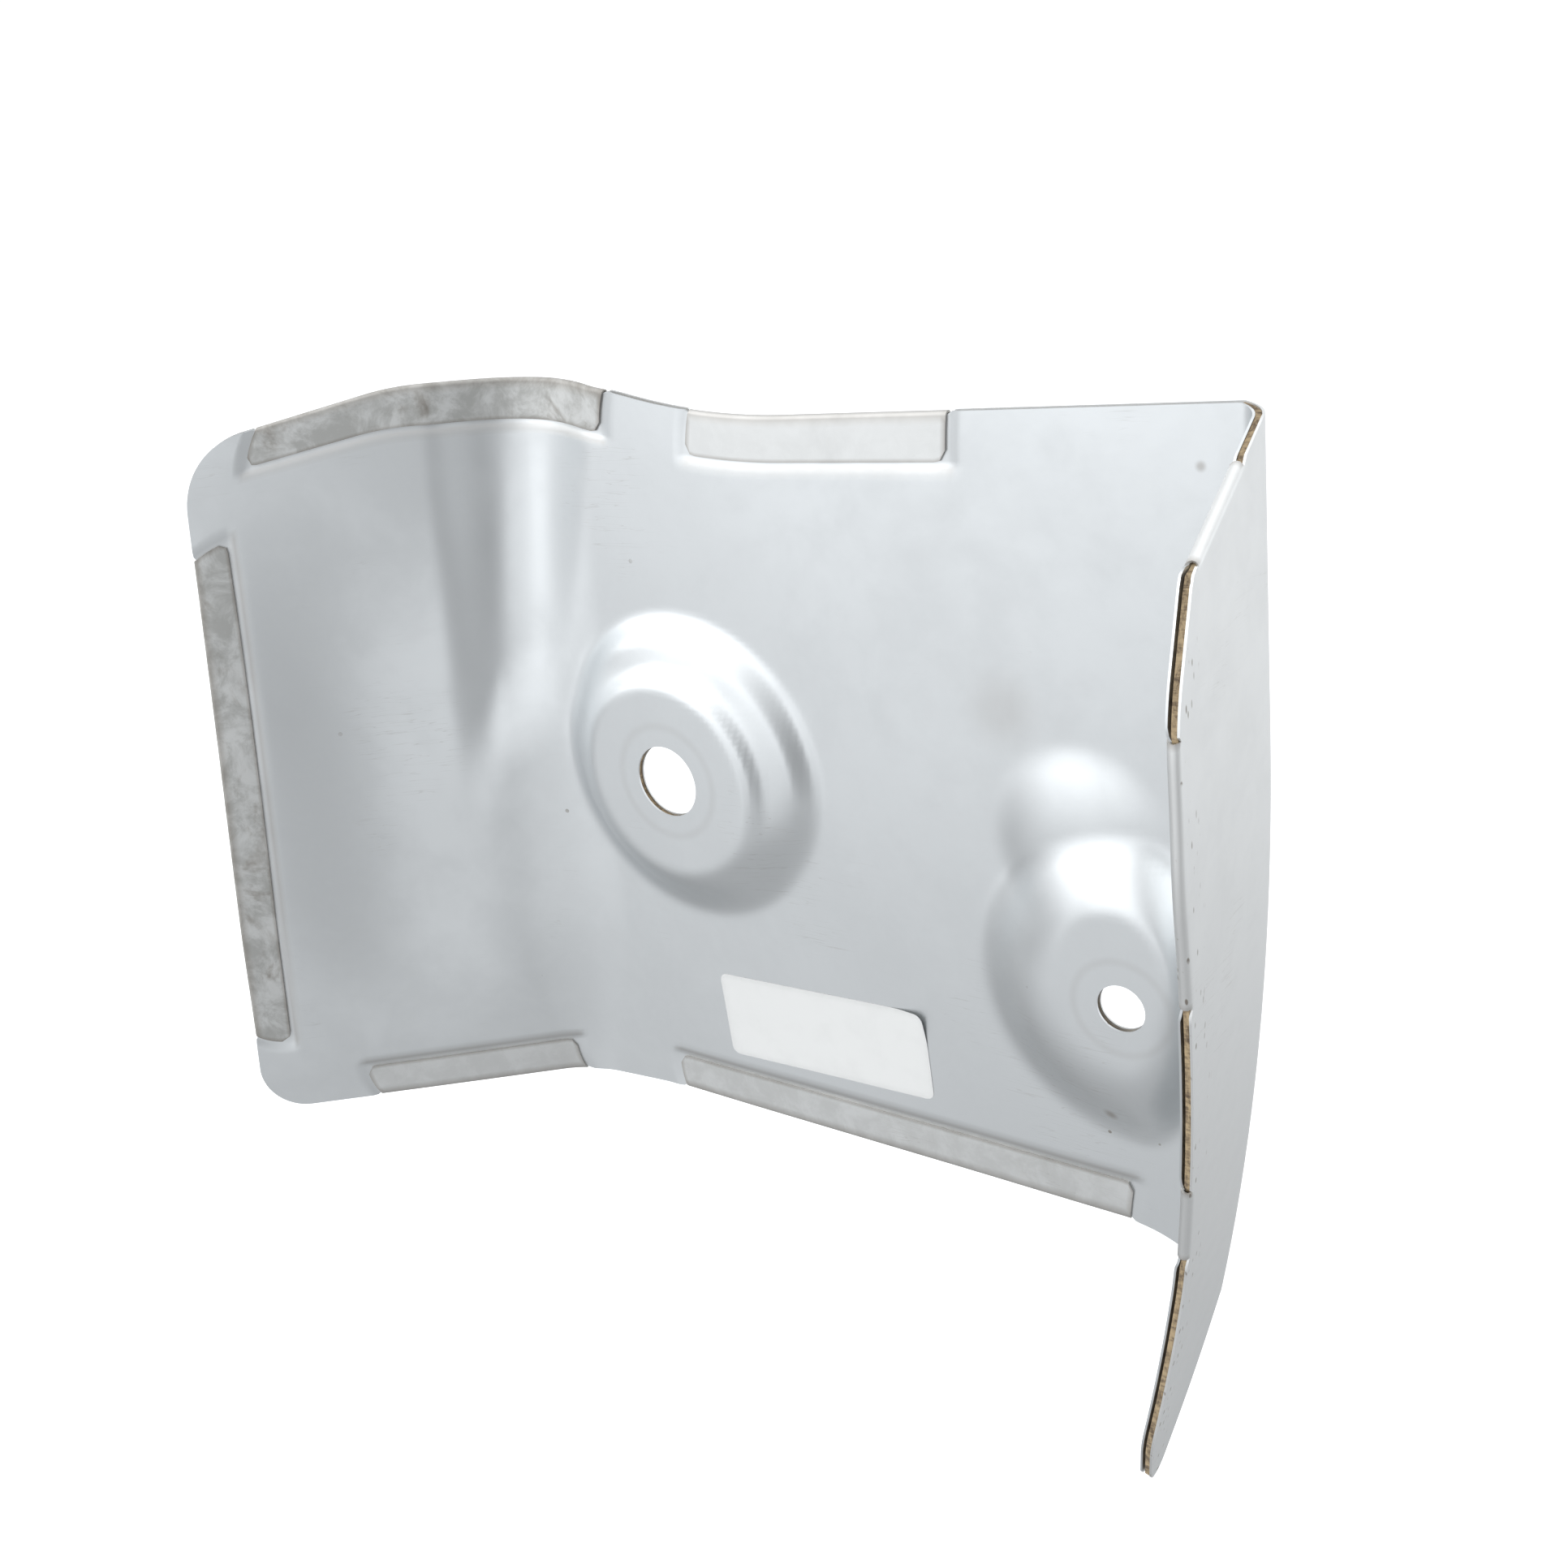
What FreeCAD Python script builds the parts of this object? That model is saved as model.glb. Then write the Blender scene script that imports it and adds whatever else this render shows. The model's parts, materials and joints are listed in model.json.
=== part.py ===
"""Pressed sandwich heat shield: two aluminised sheets with a fibre mat between them.

The part is made the way the real one is: one press form gives the shape, and each layer is the
space between two press faces that lie one gauge apart. The flat outlines of wing, panel and flange
trim the layers, and the outer sheet is hemmed over the rim in eight stretches.

Frame: origin at the bolt hole beside the flange, on the face that the bolt head seats on.
X runs across the panel to the flange, Y runs through the panel away from the engine, Z is up.
"""
import FreeCAD, Part
import math
import os

import Sketcher

Vector = FreeCAD.Vector
Rotation = FreeCAD.Rotation
Placement = FreeCAD.Placement

# Driving dimensions in millimetres and degrees
DIMENSIONS = {
    # layers, from the face that looks at the engine outwards
    "sheet_gauge": 0.4,
    "mat_gauge": 1.0,
    # bolt holes and the bosses that they sit on
    "bolt_hole_dia": 9.0,
    "centre_hole_dia": 15.0,
    "centre_hole_x": -97.3,
    "centre_hole_z": 30.1,
    "boss_rise": 7.0,
    "boss_top_round": 4.0,
    "centre_base_r": 32.0,
    "centre_flank_angle": 56.3,
    "centre_foot_round": 5.0,
    "side_left": -28.5,
    "side_right": 16.0,
    "side_foot": -28.5,
    "side_head": 36.0,
    "side_head_left": -20.0,
    "side_foot_corner": 20.0,
    "side_head_corner": 17.0,
    "side_flank_angle": 50.0,
    "side_foot_round": 2.0,
    # valley line between wing and panel, and the channel that widens it towards the top
    "valley_x": -141.7,
    "valley_z": -51.8,
    "valley_tilt": 5.5,
    "valley_radius": 12.0,
    "channel_radius": 20.0,
    "channel_right": 8.5,
    "channel_front": 16.9,
    "channel_runout": 3.3,
    "channel_overrun": 12.0,
    # wing, measured away from the valley line and along it
    "wing_angle": 38.0,
    "wing_top": 162.3,
    "wing_shoulder": 24.5,
    "wing_corner": 69.3,
    "wing_corner_top": 151.5,
    "wing_heel": 80.6,
    "wing_heel_foot": -6.5,
    "wing_valley_foot": 0.6,
    "wing_shoulder_round": 60.0,
    "wing_corner_round": 18.0,
    "wing_heel_round": 10.0,
    # panel outline
    "panel_top": 101.1,
    "panel_foot": -49.4,
    "top_step_x": -80.0,
    "top_rise_x": -112.0,
    "top_rise_z": 108.7,
    "top_valley_x": -127.7,
    "top_valley_z": 109.9,
    "top_step_round": 150.0,
    "foot_bend_x": -118.0,
    "foot_bend_round": 60.0,
    "foot_turn_x": 5.0,
    "foot_turn_drop": 12.0,
    "foot_turn_round": 24.0,
    # fold line and flange, the flange measured through the panel and up
    "fold_x": 23.3,
    "fold_radius": 2.4,
    "fold_bow_radius": 559.0,
    "fold_bow_start": 52.0,
    "fold_bow_angle": 14.0,
    "flange_back": 12.0,
    "flange_top_y": 7.5,
    "flange_nose_y": -21.8,
    "flange_nose_z": 83.0,
    "flange_belly_y": -28.5,
    "flange_belly_top": 64.0,
    "flange_belly_foot": 38.0,
    "flange_waist_y": -17.3,
    "flange_waist_z": -38.0,
    "flange_chin_y": -16.8,
    "flange_chin_z": -78.0,
    "flange_tip_y": -9.0,
    "flange_tip_z": -97.0,
    "flange_heel_y": 4.6,
    "flange_heel_z": -57.8,
    "flange_foot_z": -53.8,
    "flange_corner_round": 3.0,
    "flange_chin_round": 20.0,
    "flange_curve_round": 80.0,
    # hems of the outer sheet: size, and where they start and end along the rim
    "hem_wall": 0.5,
    "hem_width": 8.5,
    "hem_reach": 15.0,
    "top_left_hem_wing": 53.0,
    "top_left_hem_panel": -103.6,
    "top_left_hem_foot": 99.0,
    "top_hem_left": -84.0,
    "top_hem_right": -28.0,
    "left_hem_foot": 14.0,
    "left_hem_top": 129.0,
    "left_hem_foot_inside": 70.8,
    "left_hem_top_inside": 62.4,
    "foot_left_hem_start": 1.0,
    "foot_left_hem_end": 52.0,
    "foot_left_hem_end_inside": 4.6,
    "foot_right_hem_left": -113.0,
    "foot_right_hem_right": -4.0,
    "flange_top_hem_start": -2.0,
    "flange_top_hem_end": -20.0,
    "flange_top_hem_inside": 76.6,
    "flange_upper_hem_top": 61.0,
    "flange_upper_hem_foot": 18.0,
    "flange_upper_hem_foot_inside": -17.3,
    "flange_lower_hem_top": -18.0,
    "flange_lower_hem_foot": -34.0,
    "flange_lower_hem_top_inside": -11.8,
    "flange_lower_hem_foot_inside": -9.4,
    # how far the press form and the trimming prisms reach past the part
    "press_margin": 75.0,
    "press_width": 225.0,
    "press_depth": 90.0,
    "press_wing_reach": 120.0,
    "fold_reach": 180.0,
    "trim_reach": 60.0,
    "wing_trim_reach": 18.0,
    "seam_lap": 1.6,
    "fold_seam_lap": 0.3,
}


class Size:
    """A length that knows its value and the sheet expression that it comes from."""

    def __init__(self, value, text):
        self.value = value
        self.text = text

    def __add__(self, other):
        other = as_size(other)
        return Size(self.value + other.value, f"({self.text} + {other.text})")

    def __sub__(self, other):
        other = as_size(other)
        return Size(self.value - other.value, f"({self.text} - {other.text})")

    def __mul__(self, other):
        other = as_size(other)
        return Size(self.value * other.value, f"({self.text} * {other.text})")

    def __neg__(self):
        return Size(-self.value, f"(0 - {self.text})")


def as_size(number):
    """Plain numbers join in with sizes."""
    if isinstance(number, Size):
        return number
    return Size(number, f"({number})")


def dim(alias):
    """The size in the sheet's cell of that alias."""
    return Size(DIMENSIONS[alias], f"dims.{alias}")


def trig(function_name, angle):
    """Sine, cosine or tangent of a size in degrees."""
    function = getattr(math, function_name)
    return Size(function(math.radians(angle.value)), f"{function_name}({angle.text})")


def make_sheet(document):
    """Write the driving dimensions as plain numbers with aliases."""
    sheet = document.addObject("Spreadsheet::Sheet", "dims")
    for row, (alias, value) in enumerate(DIMENSIONS.items(), start=1):
        sheet.set(f"A{row}", alias)
        sheet.set(f"B{row}", str(value))
        sheet.setAlias(f"B{row}", alias)
    document.recompute()
    return sheet


def hold(sketch, kind, arguments, size):
    """Add a dimensional constraint and bind it to the sheet."""
    index = sketch.addConstraint(Sketcher.Constraint(kind, *arguments, size.value))
    sketch.setExpression(f"Constraints[{index}]", size.text)


def hold_point(sketch, geometry, end, across, up):
    """Fix a point of the sketch by its two distances from the origin."""
    hold(sketch, "DistanceX", (-1, 1, geometry, end), across)
    hold(sketch, "DistanceY", (-1, 1, geometry, end), up)


def draw_outline(sketch, corners):
    """Draw a closed outline through corners (across, up, rounding radius or None)."""
    points = [Vector(across.value, up.value, 0) for across, up, _ in corners]
    count = len(points)
    starts = list(points)
    ends = [points[(index + 1) % count] for index in range(count)]
    arcs = {}
    for index, (_, _, rounding) in enumerate(corners):
        if rounding is None:
            continue
        towards = (points[index] - points[index - 1]).normalize()
        away = (points[(index + 1) % count] - points[index]).normalize()
        turn = math.atan2(towards.cross(away).z, towards.dot(away))
        reach = rounding.value * math.tan(abs(turn) / 2)
        ends[index - 1] = points[index] - towards * reach
        starts[index] = points[index] + away * reach
        side = Vector(-towards.y, towards.x, 0) * math.copysign(1, turn)
        arcs[index] = (ends[index - 1] + side * rounding.value, turn)
    lines = []
    for start, end in zip(starts, ends):
        lines.append(sketch.addGeometry(Part.LineSegment(start, end)))
    for index, (across, up, rounding) in enumerate(corners):
        before = lines[index - 1]
        after = lines[index]
        if rounding is None:
            sketch.addConstraint(Sketcher.Constraint("Coincident", before, 2, after, 1))
            hold_point(sketch, after, 1, across, up)
            continue
        centre, turn = arcs[index]
        first, last = (ends[index - 1], starts[index])
        if turn < 0:
            first, last = last, first
        circle = Part.Circle(centre, Vector(0, 0, 1), rounding.value)
        arc = sketch.addGeometry(Part.ArcOfCircle(circle, circle.parameter(first), circle.parameter(last)))
        into, out = (1, 2) if turn > 0 else (2, 1)
        sketch.addConstraint(Sketcher.Constraint("Tangent", before, 2, arc, into))
        sketch.addConstraint(Sketcher.Constraint("Tangent", arc, out, after, 1))
        hold(sketch, "Radius", (arc,), rounding)
        corner = sketch.addGeometry(Part.Point(points[index]), True)
        sketch.addConstraint(Sketcher.Constraint("PointOnObject", corner, 1, before))
        sketch.addConstraint(Sketcher.Constraint("PointOnObject", corner, 1, after))
        hold_point(sketch, corner, 1, across, up)


def body_sketch(body, name, role, offset=None):
    """A sketch on one of the body's own planes, shifted or turned by offset."""
    sketch = body.newObject("Sketcher::SketchObject", name)
    plane = next(feature for feature in body.Origin.OriginFeatures if feature.Role == role)
    sketch.AttachmentSupport = [(plane, "")]
    sketch.MapMode = "FlatFace"
    if offset is not None:
        sketch.AttachmentOffset = offset
    return sketch


def valley_place(along, right=0.0, front=0.0):
    """A point beside the valley line, along it from its foot, and the axes that go with it."""
    tilt = math.radians(DIMENSIONS["valley_tilt"])
    line = Vector(math.sin(tilt), 0, math.cos(tilt))
    across = Vector(math.cos(tilt), 0, -math.sin(tilt))
    foot = Vector(DIMENSIONS["valley_x"], DIMENSIONS["boss_rise"], DIMENSIONS["valley_z"])
    return foot + line * along + across * right + Vector(0, -front, 0), line, across


def wing_placement():
    """The wing's own plane: across away from the valley, up along the valley line."""
    point, line, across = valley_place(0.0)
    bend = math.radians(DIMENSIONS["wing_angle"])
    outwards = across * -math.cos(bend) + Vector(0, -math.sin(bend), 0)
    return Placement(point, Rotation(outwards, line, outwards.cross(line), "ZXY"))


def fold_corners(offset, reach):
    """The area to the right of the fold line, seen from the front, with its edge moved out by offset."""
    bow = dim("fold_bow_radius") + offset
    angle = dim("fold_bow_angle")
    edge = dim("fold_x") + offset
    half = trig("tan", angle * 0.5)
    corner = dim("fold_bow_start") - bow * half
    run = bow * half + reach
    end_across = edge - run * trig("sin", angle)
    end_up = corner - run * trig("cos", angle)
    right = edge + reach
    return [
        (edge, dim("panel_top") + reach, None),
        (edge, corner, bow),
        (end_across, end_up, None),
        (right, end_up, None),
        (right, dim("panel_top") + reach, None),
    ]


def edges_where(shape, test):
    """Names of the shape's edges whose bounding box passes the test."""
    return [f"Edge{number}" for number, edge in enumerate(shape.Edges, start=1) if test(edge.BoundBox)]


def break_edges(document, body, name, kind, base, size, test):
    """Round or bevel the chosen edges of a feature and return the new feature."""
    document.recompute()
    names = edges_where(base.Shape, test)
    if not names:
        raise RuntimeError(f"{name}: no such edge")
    feature = body.newObject(f"PartDesign::{kind}", name)
    feature.Base = (base, names)
    feature.setExpression("Radius" if kind == "Fillet" else "Size", size.text)
    document.recompute()
    return feature


def on_level(box, level):
    """True for an edge that lies on the face at that depth."""
    return abs(box.YMin - level) < 1e-4 and box.YLength < 1e-4


def side_boss_corners(shrink):
    """The side boss at its foot, seen from the front and drawn in by shrink."""
    low = dim("side_foot") + shrink
    high = dim("side_head") - shrink
    right = dim("side_right") - shrink
    foot_corner = dim("side_foot_corner") - shrink
    head_corner = dim("side_head_corner") - shrink
    return [
        (dim("side_left") + shrink, low, foot_corner),
        (right, low, foot_corner),
        (right, high, head_corner),
        (dim("side_head_left") + shrink, high, head_corner),
    ]


def flank_shift(offset, flank_angle):
    """How far the foot of a flank draws in when its face moves out by offset."""
    return offset * trig("tan", (as_size(90) - flank_angle) * 0.5)


def make_press(document, name, offset, rounded):
    """The solid in front of the shield, its face moved out by offset from the engine-side face.

    The engine-side face has its bosses rounded all over. The faces behind it only have the tight edge of
    the side boss's seat broken.
    """
    body = document.addObject("PartDesign::Body", name)
    margin = dim("press_margin")
    panel = dim("boss_rise") + offset
    seat = as_size(0.0) + offset

    # wing, valley and panel: one section drawn along the valley line
    point, _, _ = valley_place(-DIMENSIONS["press_margin"])
    turn = Rotation(Vector(0, 1, 0), DIMENSIONS["valley_tilt"])
    section = body_sketch(body, f"{name}_section", "XY_Plane", Placement(Vector(point.x, 0, point.z), turn))
    corner = -(offset * trig("tan", dim("wing_angle") * 0.5))
    wing_reach = dim("press_wing_reach")
    wing_across = corner - wing_reach * trig("cos", dim("wing_angle"))
    wing_up = panel - wing_reach * trig("sin", dim("wing_angle"))
    front = panel - dim("press_depth")
    draw_outline(section, [
        (corner, panel, dim("valley_radius") + offset),
        (wing_across, wing_up, None),
        (wing_across, front, None),
        (dim("press_width"), front, None),
        (dim("press_width"), panel, None),
    ])
    block = body.newObject("PartDesign::Pad", f"{name}_block")
    block.Profile = section
    block.setExpression("Length", (margin * 2 + dim("wing_top")).text)

    # the fold: everything past the flange's face is cut away
    fold = body_sketch(body, f"{name}_fold", "XZ_Plane")
    draw_outline(fold, fold_corners(offset, dim("fold_reach")))
    wall = body.newObject("PartDesign::Pocket", f"{name}_wall")
    wall.Profile = fold
    wall.Type = "ThroughAll"
    wall.Midplane = True
    break_edges(
        document, body, f"{name}_fold_round", "Fillet", wall, dim("fold_radius") + offset,
        lambda box: on_level(box, panel.value) and box.XMin > DIMENSIONS["centre_hole_x"]
        and box.ZLength > box.XLength)

    # the channel widens the valley and runs out on the way down
    top = DIMENSIONS["wing_top"] + DIMENSIONS["channel_overrun"]
    point, line, across = valley_place(top, DIMENSIONS["channel_right"], DIMENSIONS["channel_front"])
    down = Rotation(across, -DIMENSIONS["channel_runout"]).multVec(line * -1)
    channel = body.newObject("PartDesign::AdditiveCylinder", f"{name}_channel")
    channel.AttachmentSupport = [(next(p for p in body.Origin.OriginFeatures if p.Role == "XY_Plane"), "")]
    channel.MapMode = "FlatFace"
    channel.AttachmentOffset = Placement(point, Rotation(Vector(0, 0, 1), down))
    channel.setExpression("Radius", (dim("channel_radius") + offset).text)
    channel.setExpression("Height", dim("wing_top").text)

    # centre boss: a round frustum
    base_radius = dim("centre_base_r") - flank_shift(offset, dim("centre_flank_angle"))
    seat_radius = base_radius - dim("boss_rise") * trig("tan", dim("centre_flank_angle"))
    boss = body.newObject("PartDesign::SubtractiveCone", f"{name}_centre_boss")
    boss.AttachmentSupport = [(next(p for p in body.Origin.OriginFeatures if p.Role == "XZ_Plane"), "")]
    boss.MapMode = "FlatFace"
    boss.setExpression("Radius1", base_radius.text)
    boss.setExpression("Radius2", seat_radius.text)
    boss.setExpression("Height", "dims.boss_rise")
    boss.AttachmentOffset = Placement(
        Vector(DIMENSIONS["centre_hole_x"], DIMENSIONS["centre_hole_z"], -panel.value), Rotation())

    # side boss: an oblong that tapers to its seat beside the fold
    base = body_sketch(body, f"{name}_side_base", "XZ_Plane", Placement(Vector(0, 0, -panel.value), Rotation()))
    draw_outline(base, side_boss_corners(flank_shift(offset, dim("side_flank_angle"))))
    side = body.newObject("PartDesign::Pocket", f"{name}_side_boss")
    side.Profile = base
    side.Reversed = True
    side.setExpression("Length", "dims.boss_rise")
    side.setExpression("TaperAngle", "0 - dims.side_flank_angle")

    slack = 0.5
    seat_round = dim("boss_top_round") - offset
    centre_end = DIMENSIONS["centre_hole_x"] + base_radius.value

    def on_centre_seat(box):
        return on_level(box, seat.value) and box.XMax < centre_end

    def on_side_seat(box):
        return on_level(box, seat.value) and box.XMin > centre_end

    def on_centre_foot(box):
        return on_level(box, panel.value) and abs(box.ZLength - 2 * base_radius.value) < slack

    def on_side_foot(box):
        return (on_level(box, panel.value)
                and DIMENSIONS["side_left"] - slack < box.XMin and box.XMax < DIMENSIONS["side_right"] + slack
                and DIMENSIONS["side_foot"] - slack < box.ZMin and box.ZMax < DIMENSIONS["side_head"] + slack)

    if rounded:
        last = break_edges(document, body, f"{name}_centre_seat", "Fillet", side, seat_round, on_centre_seat)
        last = break_edges(document, body, f"{name}_side_seat", "Fillet", last, seat_round, on_side_seat)
        last = break_edges(document, body, f"{name}_centre_foot", "Fillet", last,
                           dim("centre_foot_round") + offset, on_centre_foot)
        break_edges(document, body, f"{name}_side_foot", "Fillet", last,
                    dim("side_foot_round") + offset, on_side_foot)
    else:
        # a bevel that touches the middle of the round which this seat edge would have
        turn = as_size(90) - dim("side_flank_angle")
        leg = seat_round * (trig("tan", turn * 0.5) - trig("tan", turn * 0.25))
        break_edges(document, body, f"{name}_side_seat", "Chamfer", side, leg, on_side_seat)
    return body


def flat_sketch(document, name, placement, corners):
    """A closed outline on a plane of its own."""
    sketch = document.addObject("Sketcher::SketchObject", name)
    sketch.Placement = placement
    draw_outline(sketch, corners)
    return sketch


def prism(document, name, outline, reach):
    """A solid through an outline, reaching the same way to both sides of its plane."""
    solid = document.addObject("Part::Extrusion", name)
    solid.Base = outline
    solid.DirMode = "Normal"
    solid.Solid = True
    solid.Symmetric = True
    solid.setExpression("LengthFwd", (reach * 2).text)
    return solid


def inset(document, name, outline, distance):
    """The same outline drawn in by a distance."""
    inner = document.addObject("Part::Offset2D", name)
    inner.Source = outline
    inner.setExpression("Value", (-distance).text)
    return inner


def cut(document, name, base, tool):
    """What is left of base without tool."""
    result = document.addObject("Part::Cut", name)
    result.Base = base
    result.Tool = tool
    return result


def common(document, name, *members):
    """What all the members share."""
    result = document.addObject("Part::MultiCommon", name)
    result.Shapes = list(members)
    return result


def fuse(document, name, *members):
    """The members joined to one."""
    result = document.addObject("Part::MultiFuse", name)
    result.Shapes = list(members)
    result.Refine = True
    return result


FRONT_PLANE = Placement(Vector(), Rotation(Vector(1, 0, 0), 90))
SIDE_PLANE = Placement(Vector(), Rotation(Vector(1, 1, 1), 120))


def panel_corners():
    """The panel from the front, lapping a little past the valley line."""
    drop = dim("foot_turn_drop")
    right = dim("fold_x") + dim("trim_reach")
    low = dim("panel_foot") - drop
    return [
        (dim("valley_x") - dim("seam_lap"), dim("valley_z"), None),
        (dim("foot_bend_x"), dim("panel_foot"), dim("foot_bend_round")),
        (dim("foot_turn_x"), dim("panel_foot"), dim("foot_turn_round")),
        (dim("foot_turn_x") + drop, low, None),
        (right, low, None),
        (right, dim("panel_top"), None),
        (dim("top_step_x"), dim("panel_top"), dim("top_step_round")),
        (dim("top_rise_x"), dim("top_rise_z"), dim("top_step_round")),
        (dim("top_valley_x"), dim("top_valley_z"), None),
    ]


def wing_corners():
    """The wing in its own plane: away from the valley line, then along it."""
    lap = -dim("seam_lap")
    return [
        (lap, dim("wing_valley_foot"), None),
        (dim("wing_heel"), dim("wing_heel_foot"), dim("wing_heel_round")),
        (dim("wing_corner"), dim("wing_corner_top"), dim("wing_corner_round")),
        (dim("wing_shoulder"), dim("wing_top"), dim("wing_shoulder_round")),
        (lap, dim("wing_top"), None),
    ]


def flange_corners():
    """The flange from the side: through the panel, then up."""
    corner = dim("flange_corner_round")
    curve = dim("flange_curve_round")
    return [
        (dim("flange_back"), dim("panel_top"), None),
        (dim("flange_top_y"), dim("panel_top"), corner),
        (dim("flange_nose_y"), dim("flange_nose_z"), corner),
        (dim("flange_belly_y"), dim("flange_belly_top"), curve * 0.5),
        (dim("flange_belly_y"), dim("flange_belly_foot"), curve),
        (dim("flange_waist_y"), dim("flange_waist_z"), curve),
        (dim("flange_chin_y"), dim("flange_chin_z"), dim("flange_chin_round")),
        (dim("flange_tip_y"), dim("flange_tip_z"), corner),
        (dim("flange_heel_y"), dim("flange_heel_z"), corner),
        (dim("boss_rise"), dim("flange_foot_z"), None),
        (dim("flange_back"), dim("flange_foot_z"), None),
    ]


def make_blank(document, name, distance):
    """The trimmed extent of the sheets: wing, panel and flange outlines, drawn in by a distance."""
    parts = {}
    planes = {"panel": FRONT_PLANE, "wing": wing_placement(), "flange": SIDE_PLANE}
    shapes = {"panel": panel_corners(), "wing": wing_corners(), "flange": flange_corners()}
    reach = dim("trim_reach")
    for area, corners in shapes.items():
        outline = flat_sketch(document, f"{name}_{area}_outline", planes[area], corners)
        if distance is not None:
            outline = inset(document, f"{name}_{area}_inset", outline, distance)
        depth = dim("wing_trim_reach") if area == "wing" else reach
        parts[area] = prism(document, f"{name}_{area}_prism", outline, depth)
    lap = dim("fold_radius") + dim("seam_lap")
    beside = prism(document, f"{name}_beside_fold",
                   flat_sketch(document, f"{name}_fold_seam", FRONT_PLANE, fold_corners(-lap, reach)), reach)
    past = prism(document, f"{name}_past_fold",
                 flat_sketch(document, f"{name}_fold_lap", FRONT_PLANE,
                             fold_corners(-lap - dim("fold_seam_lap"), reach)), reach)
    flat = cut(document, f"{name}_flat", parts["panel"], beside)
    turned = common(document, f"{name}_turned", parts["flange"], past)
    return fuse(document, name, flat, parts["wing"], turned)


def hem_zones(document):
    """Prisms over the stretches of the rim where the outer sheet is folded over."""
    width = dim("hem_width")
    reach = dim("hem_reach")
    lap = -dim("seam_lap")
    top = dim("panel_top")
    foot = dim("panel_foot")
    wing_top = dim("wing_top")
    slope = as_size((DIMENSIONS["wing_top"] - DIMENSIONS["wing_corner_top"])
                    / (DIMENSIONS["wing_corner"] - DIMENSIONS["wing_shoulder"]))
    end = dim("top_left_hem_wing")
    low_end = wing_top - width - (end - dim("wing_shoulder")) * slope
    front = {
        "top_left_panel_hem": [
            (dim("top_left_hem_panel"), dim("top_left_hem_foot"), None),
            (dim("top_left_hem_panel"), dim("top_valley_z") + reach, None),
            (dim("top_valley_x"), dim("top_valley_z") + reach, None),
            (dim("top_valley_x"), dim("top_valley_z") - width, None),
        ],
        "top_hem": box_corners(dim("top_hem_left"), dim("top_hem_right"), top - width, top + reach),
        "foot_right_hem": box_corners(
            dim("foot_right_hem_left"), dim("foot_right_hem_right"), foot - width, foot + width),
    }
    wing = {
        "top_left_wing_hem": [
            (lap, wing_top - width, None),
            (dim("wing_shoulder"), wing_top - width, None),
            (end, low_end, None),
            (end, wing_top + reach, None),
            (lap, wing_top + reach, None),
        ],
        "left_hem": [
            (dim("left_hem_foot_inside"), dim("left_hem_foot"), None),
            (dim("wing_heel") + reach, dim("left_hem_foot"), None),
            (dim("wing_heel") + reach, dim("left_hem_top"), None),
            (dim("left_hem_top_inside"), dim("left_hem_top"), None),
        ],
        "foot_left_hem": [
            (dim("foot_left_hem_start"), dim("wing_valley_foot") + width, None),
            (dim("foot_left_hem_start"), dim("wing_heel_foot") - reach, None),
            (dim("foot_left_hem_end"), dim("wing_heel_foot") - reach, None),
            (dim("foot_left_hem_end"), dim("foot_left_hem_end_inside"), None),
        ],
    }
    belly = dim("flange_belly_y")
    waist = dim("flange_waist_y")
    flange = {
        "flange_top_hem": [
            (dim("flange_top_hem_start"), top + reach, None),
            (dim("flange_top_hem_start") + width * 0.5, top - width, None),
            (dim("flange_top_hem_end") + width * 0.5, dim("flange_top_hem_inside"), None),
            (dim("flange_top_hem_end"), top + reach, None),
        ],
        "flange_upper_hem": [
            (belly - reach, dim("flange_upper_hem_top"), None),
            (belly + width, dim("flange_upper_hem_top"), None),
            (dim("flange_upper_hem_foot_inside"), dim("flange_upper_hem_foot"), None),
            (belly - reach, dim("flange_upper_hem_foot"), None),
        ],
        "flange_lower_hem": [
            (waist - reach, dim("flange_lower_hem_top"), None),
            (dim("flange_lower_hem_top_inside"), dim("flange_lower_hem_top"), None),
            (dim("flange_lower_hem_foot_inside"), dim("flange_lower_hem_foot"), None),
            (waist - reach, dim("flange_lower_hem_foot"), None),
        ],
    }
    zones = []
    for placement, group in ((FRONT_PLANE, front), (wing_placement(), wing), (SIDE_PLANE, flange)):
        for name, corners in group.items():
            outline = flat_sketch(document, f"{name}_outline", placement, corners)
            zones.append(prism(document, name, outline, reach * 2))
    return zones


def box_corners(left, right, low, high):
    """The four corners of an upright rectangle."""
    return [(left, low, None), (right, low, None), (right, high, None), (left, high, None)]


def bolt_holes(document):
    """Pins through both seats, as long as the press form is deep."""
    pins = []
    places = {"bolt_hole": (0.0, 0.0), "centre_hole": (DIMENSIONS["centre_hole_x"], DIMENSIONS["centre_hole_z"])}
    for name, (across, up) in places.items():
        pin = document.addObject("Part::Cylinder", f"{name}_pin")
        pin.setExpression("Radius", f"dims.{name}_dia / 2")
        pin.setExpression("Height", "dims.hem_reach * 2")
        pin.Placement = Placement(Vector(across, DIMENSIONS["hem_reach"], up), Rotation(Vector(1, 0, 0), 90))
        pins.append(pin)
    return fuse(document, "bolt_hole_pins", *pins)


def check(document, nodes):
    """Stop if any object failed or any node is empty or unsound."""
    for item in document.Objects:
        if "Invalid" in item.State or "Error" in item.State:
            raise RuntimeError(f"{item.Name} failed: {item.State}")
    for node in nodes:
        if node.Shape.isNull() or not node.Shape.isValid():
            raise RuntimeError(f"{node.Label} has no sound shape")


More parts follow.
